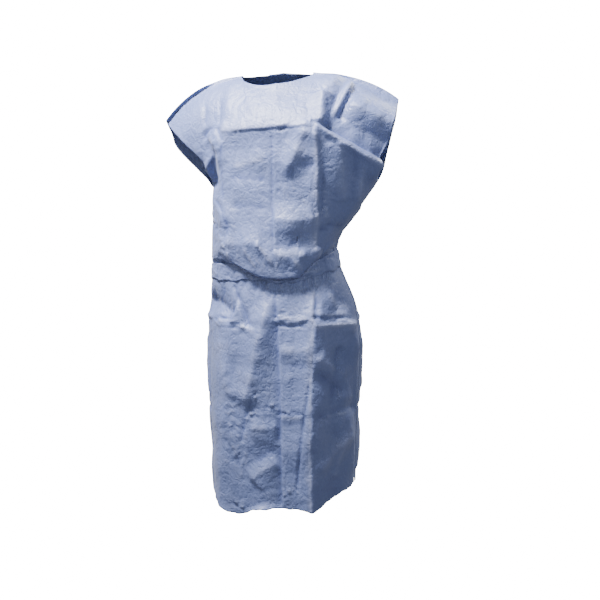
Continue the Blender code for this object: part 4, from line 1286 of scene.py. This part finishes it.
def node_group(name, inputs, outputs):
    """A shader node group with named sockets, and its input and output nodes."""
    group = bpy.data.node_groups.new(name, "ShaderNodeTree")
    for socket, kind in inputs:
        group.interface.new_socket(name=socket, in_out="INPUT", socket_type=kind)
    for socket, kind in outputs:
        group.interface.new_socket(name=socket, in_out="OUTPUT", socket_type=kind)
    start = group.nodes.new("NodeGroupInput")
    end = group.nodes.new("NodeGroupOutput")
    return group, start, end


def math_node(group, operation, first, second):
    """A math node fed by sockets or plain numbers."""
    node = group.nodes.new("ShaderNodeMath")
    node.operation = operation
    for index, value in enumerate((first, second)):
        if isinstance(value, (int, float)):
            node.inputs[index].default_value = value
        else:
            group.links.new(value, node.inputs[index])
    return node.outputs["Value"]


def noise_node(group, place, noise):
    """A noise texture read at a place."""
    node = group.nodes.new("ShaderNodeTexNoise")
    node.inputs["Scale"].default_value = noise.scale
    node.inputs["Detail"].default_value = noise.detail
    node.inputs["Roughness"].default_value = noise.roughness
    group.links.new(place, node.inputs["Vector"])
    return node.outputs["Fac"]


def crinkle_group():
    """Papery crinkles: the height of fine sharp wrinkles in two sizes, and of the tissue's own crepe."""
    place_socket = [("Place", "NodeSocketVector")]
    group, start, end = node_group("papery crinkle", place_socket, [("Height", "NodeSocketFloat")])
    place = start.outputs["Place"]
    sway = group.nodes.new("ShaderNodeTexNoise")
    sway.inputs["Scale"].default_value = CRINKLE_BEND_SCALE
    sway.inputs["Detail"].default_value = CRINKLE_BEND_DETAIL
    group.links.new(place, sway.inputs["Vector"])
    bend = group.nodes.new("ShaderNodeVectorMath")
    bend.operation = "MULTIPLY_ADD"
    bend.inputs[1].default_value = (CRINKLE_BEND, CRINKLE_BEND, CRINKLE_BEND)
    group.links.new(sway.outputs["Color"], bend.inputs[0])
    group.links.new(place, bend.inputs[2])
    total = math_node(group, "MULTIPLY", noise_node(group, place, CREPE), CREPE_HEIGHT)
    for scale, height in CRINKLE_SIZES:
        cell = group.nodes.new("ShaderNodeTexVoronoi")
        cell.feature = "DISTANCE_TO_EDGE"
        cell.inputs["Scale"].default_value = scale
        group.links.new(bend.outputs["Vector"], cell.inputs["Vector"])
        near = math_node(group, "MINIMUM", cell.outputs["Distance"], CRINKLE_FLAT)
        total = math_node(group, "ADD", total, math_node(group, "MULTIPLY", near, height))
    group.links.new(total, end.inputs["Height"])
    return group


def emboss_group():
    """The tissue's embossed dots, in staggered rows over the flat cut."""
    flat_socket = [("Flat", "NodeSocketVector")]
    group, start, end = node_group("embossed dots", flat_socket, [("Height", "NodeSocketFloat")])
    scaled = group.nodes.new("ShaderNodeVectorMath")
    scaled.operation = "SCALE"
    scaled.inputs["Scale"].default_value = DOT_SCALE
    turned = group.nodes.new("ShaderNodeVectorRotate")
    turned.inputs["Angle"].default_value = math.pi / 4
    cell = group.nodes.new("ShaderNodeTexVoronoi")
    cell.inputs["Randomness"].default_value = DOT_JITTER
    cell.inputs["Scale"].default_value = 1.0
    group.links.new(start.outputs["Flat"], scaled.inputs[0])
    group.links.new(scaled.outputs["Vector"], turned.inputs["Vector"])
    group.links.new(turned.outputs["Vector"], cell.inputs["Vector"])
    dot = group.nodes.new("ShaderNodeMapRange")
    dot.interpolation_type = "SMOOTHSTEP"
    dot.inputs["From Min"].default_value = DOT_EDGE[0]
    dot.inputs["From Max"].default_value = DOT_EDGE[1]
    dot.inputs["To Min"].default_value = 1.0
    dot.inputs["To Max"].default_value = 0.0
    group.links.new(cell.outputs["Distance"], dot.inputs["Value"])
    group.links.new(dot.outputs["Result"], end.inputs["Height"])
    return group


def tone_group():
    """The tissue's colour: mottled blue, paler where a crease is pressed, and deeper in its valleys and
    troughs as painted shade.
    """
    group, start, end = node_group(
        "tissue tone",
        [("Place", "NodeSocketVector"), ("Crease", "NodeSocketFloat")],
        [("Color", "NodeSocketColor"), ("Roughness", "NodeSocketFloat")],
    )
    cloud = noise_node(group, start.outputs["Place"], CLOUD)
    speck = noise_node(group, start.outputs["Place"], GRAIN)
    soft = math_node(group, "MULTIPLY", cloud, TONE_CLOUD)
    grain = math_node(group, "MULTIPLY", speck, TONE_GRAIN)
    mixed = math_node(group, "ADD", math_node(group, "ADD", soft, grain), TONE_START)
    # Negative crease marks darken the tone: painted shade in valleys and troughs.
    creased = math_node(group, "MULTIPLY", start.outputs["Crease"], TONE_CREASE_AND_SHADE)
    level = math_node(group, "ADD", mixed, creased)
    ramp = group.nodes.new("ShaderNodeValToRGB")
    deep, main, pale = TONE_PLACES
    ramp.color_ramp.elements[0].position = deep
    ramp.color_ramp.elements[0].color = (*TISSUE_DEEP_AND_SHADE, 1.0)
    ramp.color_ramp.elements[1].position = pale
    ramp.color_ramp.elements[1].color = (*TISSUE_PALE, 1.0)
    ramp.color_ramp.elements.new(main).color = (*TISSUE_MAIN, 1.0)
    group.links.new(level, ramp.inputs["Fac"])
    group.links.new(ramp.outputs["Color"], end.inputs["Color"])
    rough = math_node(group, "ADD", math_node(group, "MULTIPLY", speck, ROUGH_GRAIN), ROUGH_LEAST)
    group.links.new(rough, end.inputs["Roughness"])
    return group


def bump_node(tree, height, bump):
    """A bump node fed by a height, with its strength and its distance in metres."""
    node = tree.nodes.new("ShaderNodeBump")
    node.inputs["Strength"].default_value = bump[0]
    node.inputs["Distance"].default_value = bump[1]
    tree.links.new(height, node.inputs["Height"])
    return node


def tissue_material(crinkle, emboss, tone):
    """The blue crepe tissue with its dull sheen."""
    material = bpy.data.materials.new("blue_tissue")
    material.use_nodes = True
    tree = material.node_tree
    shader = tree.nodes["Principled BSDF"]
    shader.inputs["Specular IOR Level"].default_value = SPECULAR
    shader.inputs["Sheen Weight"].default_value = SHEEN
    shader.inputs["Sheen Roughness"].default_value = SHEEN_ROUGHNESS
    shader.inputs["Sheen Tint"].default_value = SHEEN_TINT
    places = tree.nodes.new("ShaderNodeTexCoord")
    # The crease attribute makes pressed ridges paler and valleys deeper, which is painted shade.
    creased = tree.nodes.new("ShaderNodeAttribute")
    creased.attribute_name = "crease"
    colour = tree.nodes.new("ShaderNodeGroup")
    colour.node_tree = tone
    tree.links.new(places.outputs["Object"], colour.inputs["Place"])
    tree.links.new(creased.outputs["Fac"], colour.inputs["Crease"])
    tree.links.new(colour.outputs["Color"], shader.inputs["Base Color"])
    tree.links.new(colour.outputs["Roughness"], shader.inputs["Roughness"])
    wrinkles = tree.nodes.new("ShaderNodeGroup")
    wrinkles.node_tree = crinkle
    tree.links.new(places.outputs["Object"], wrinkles.inputs["Place"])
    dots = tree.nodes.new("ShaderNodeGroup")
    dots.node_tree = emboss
    tree.links.new(places.outputs["UV"], dots.inputs["Flat"])
    crinkled = bump_node(tree, wrinkles.outputs["Height"], CRINKLE_BUMP)
    embossed = bump_node(tree, dots.outputs["Height"], DOT_BUMP)
    tree.links.new(crinkled.outputs["Normal"], embossed.inputs["Normal"])
    tree.links.new(embossed.outputs["Normal"], shader.inputs["Normal"])
    return material


def place_camera():
    """The photograph's view, from the wearer's left of the front and a little above the waist."""
    turn = math.radians(VIEW_TURN)
    right = Vector((math.cos(turn), math.sin(turn), 0.0))
    toward = Vector((math.sin(turn), -math.cos(turn), 0.0))
    eye = right * VIEW_SIDEWAYS + toward * VIEW_DISTANCE + Vector((0.0, 0.0, VIEW_HEIGHT))
    target = right * VIEW_SIDEWAYS + Vector((0.0, 0.0, VIEW_TARGET_HEIGHT))
    data = bpy.data.cameras.new("view")
    data.sensor_width = SENSOR
    data.lens = SENSOR * (target - eye).length / (PIXEL * IMAGE_PIXELS)
    camera = bpy.data.objects.new("view", data)
    camera.location = eye * MM
    camera.rotation_euler = (target - eye).to_track_quat("-Z", "Y").to_euler()
    bpy.context.scene.collection.objects.link(camera)
    bpy.context.scene.camera = camera


def soft_light(light):
    """A square soft light aimed at its target."""
    data = bpy.data.lights.new(light.name, "AREA")
    data.shape = "SQUARE"
    data.size = light.size
    data.energy = light.power
    data.color = light.colour
    lamp = bpy.data.objects.new(light.name, data)
    lamp.location = light.place
    lamp.rotation_euler = (Vector(light.target) - Vector(light.place)).to_track_quat("-Z", "Y").to_euler()
    bpy.context.scene.collection.objects.link(lamp)


def floor_material():
    """The studio's white, which glows evenly and lights nothing."""
    material = bpy.data.materials.new("floor_white")
    material.use_nodes = True
    shader = material.node_tree.nodes["Principled BSDF"]
    shader.inputs["Base Color"].default_value = (*FLOOR_WHITE, 1.0)
    shader.inputs["Roughness"].default_value = FLOOR_ROUGHNESS
    shader.inputs["Emission Color"].default_value = (1.0, 1.0, 1.0, 1.0)
    shader.inputs["Emission Strength"].default_value = STUDIO_GLOW
    return material


def build_studio():
    """A pale floor that curves up into a backdrop, the sky's soft light, and the lights."""
    form = bmesh.new()
    profile = [form.verts.new((0.0, 0.0, 0.0))]
    for step in range(FLOOR_BEND_STEPS + 1):
        turn = math.pi / 2 * step / FLOOR_BEND_STEPS
        x = STUDIO_RADIUS - STUDIO_BEND + STUDIO_BEND * math.sin(turn)
        profile.append(form.verts.new((x, 0.0, STUDIO_BEND * (1 - math.cos(turn)))))
    profile.append(form.verts.new((STUDIO_RADIUS, 0.0, STUDIO_HEIGHT)))
    line = [form.edges.new(pair) for pair in zip(profile[:-1], profile[1:])]
    bmesh.ops.spin(
        form,
        geom=profile + line,
        cent=(0.0, 0.0, 0.0),
        axis=(0.0, 0.0, 1.0),
        angle=2 * math.pi,
        steps=FLOOR_STEPS,
        use_merge=True,
    )
    bmesh.ops.recalc_face_normals(form, faces=form.faces)
    mesh = bpy.data.meshes.new("studio_floor")
    form.to_mesh(mesh)
    form.free()
    mesh.shade_smooth()
    mesh.materials.append(floor_material())
    floor = bpy.data.objects.new("studio_floor", mesh)
    floor.location = (0.0, 0.0, FLOOR_HEIGHT)
    floor.visible_diffuse = False
    floor.visible_glossy = False
    bpy.context.scene.collection.objects.link(floor)

    world = bpy.data.worlds.new("studio")
    world.use_nodes = True
    world.node_tree.nodes["Background"].inputs["Color"].default_value = (*SKY_COLOUR, 1.0)
    world.node_tree.nodes["Background"].inputs["Strength"].default_value = SKY_STRENGTH
    bpy.context.scene.world = world
    for light in LIGHTS:
        soft_light(light)


def join(piece, node):
    """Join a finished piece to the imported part, in place of a node."""
    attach(piece, "root")
    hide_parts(node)


def dress(piece, node):
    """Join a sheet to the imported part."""
    join(piece, node)


def main():
    """Place the camera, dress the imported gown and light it."""
    place_camera()
    tissue = tissue_material(crinkle_group(), emboss_group(), tone_group())

    front = lay_sheet("front", fine_columns("front", -1.0, 1.0))
    back_right = lay_sheet("back", fine_columns("back", -1.0, LAP_SHARE))
    back_left = lay_sheet("back", fine_columns("back", -LAP_SHARE, 1.0), lifted=True)
    pieces = {
        "front": cloth_piece("front_sheet", front, TISSUE, -1.0, tissue, flip=True),
        "back_right": cloth_piece("back_sheet_right", back_right, TISSUE, -1.0, tissue),
        "back_left": cloth_piece("back_sheet_left", back_left, TISSUE, -1.0, tissue),
    }
    for node, piece in pieces.items():
        dress(piece, node)

    belt = belt_sheet()
    band = cloth_piece("waist_tie", belt, BELT_THICKNESS, 1.0, tissue, ring=True, flip=True)
    dress(band, "belt")

    low, high = (Vector(corner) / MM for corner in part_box("belt_knot"))
    middle = (low + high) / 2
    size = high - low
    bunch = knot_sheet(middle, size)
    join(cloth_piece("waist_tie_knot", bunch, KNOT_WALL, -1.0, tissue, ring=True, flip=True), "belt_knot")
    wrap = knot_wrap_sheet(middle, size)
    join(cloth_piece("waist_tie_knot_wrap", wrap, WRAP_WALL, 1.0, tissue, ring=True), "belt_knot")

    tree = back_surface([back_right, back_left])
    for name in TIE_SPREAD:
        end = tie_sheet(name, tree, low.z, middle.y - TIE_THICKNESS / 2)
        piece = cloth_piece("waist_" + name, end, TIE_THICKNESS, 1.0, tissue)
        dress(piece, name)

    build_studio()


main()
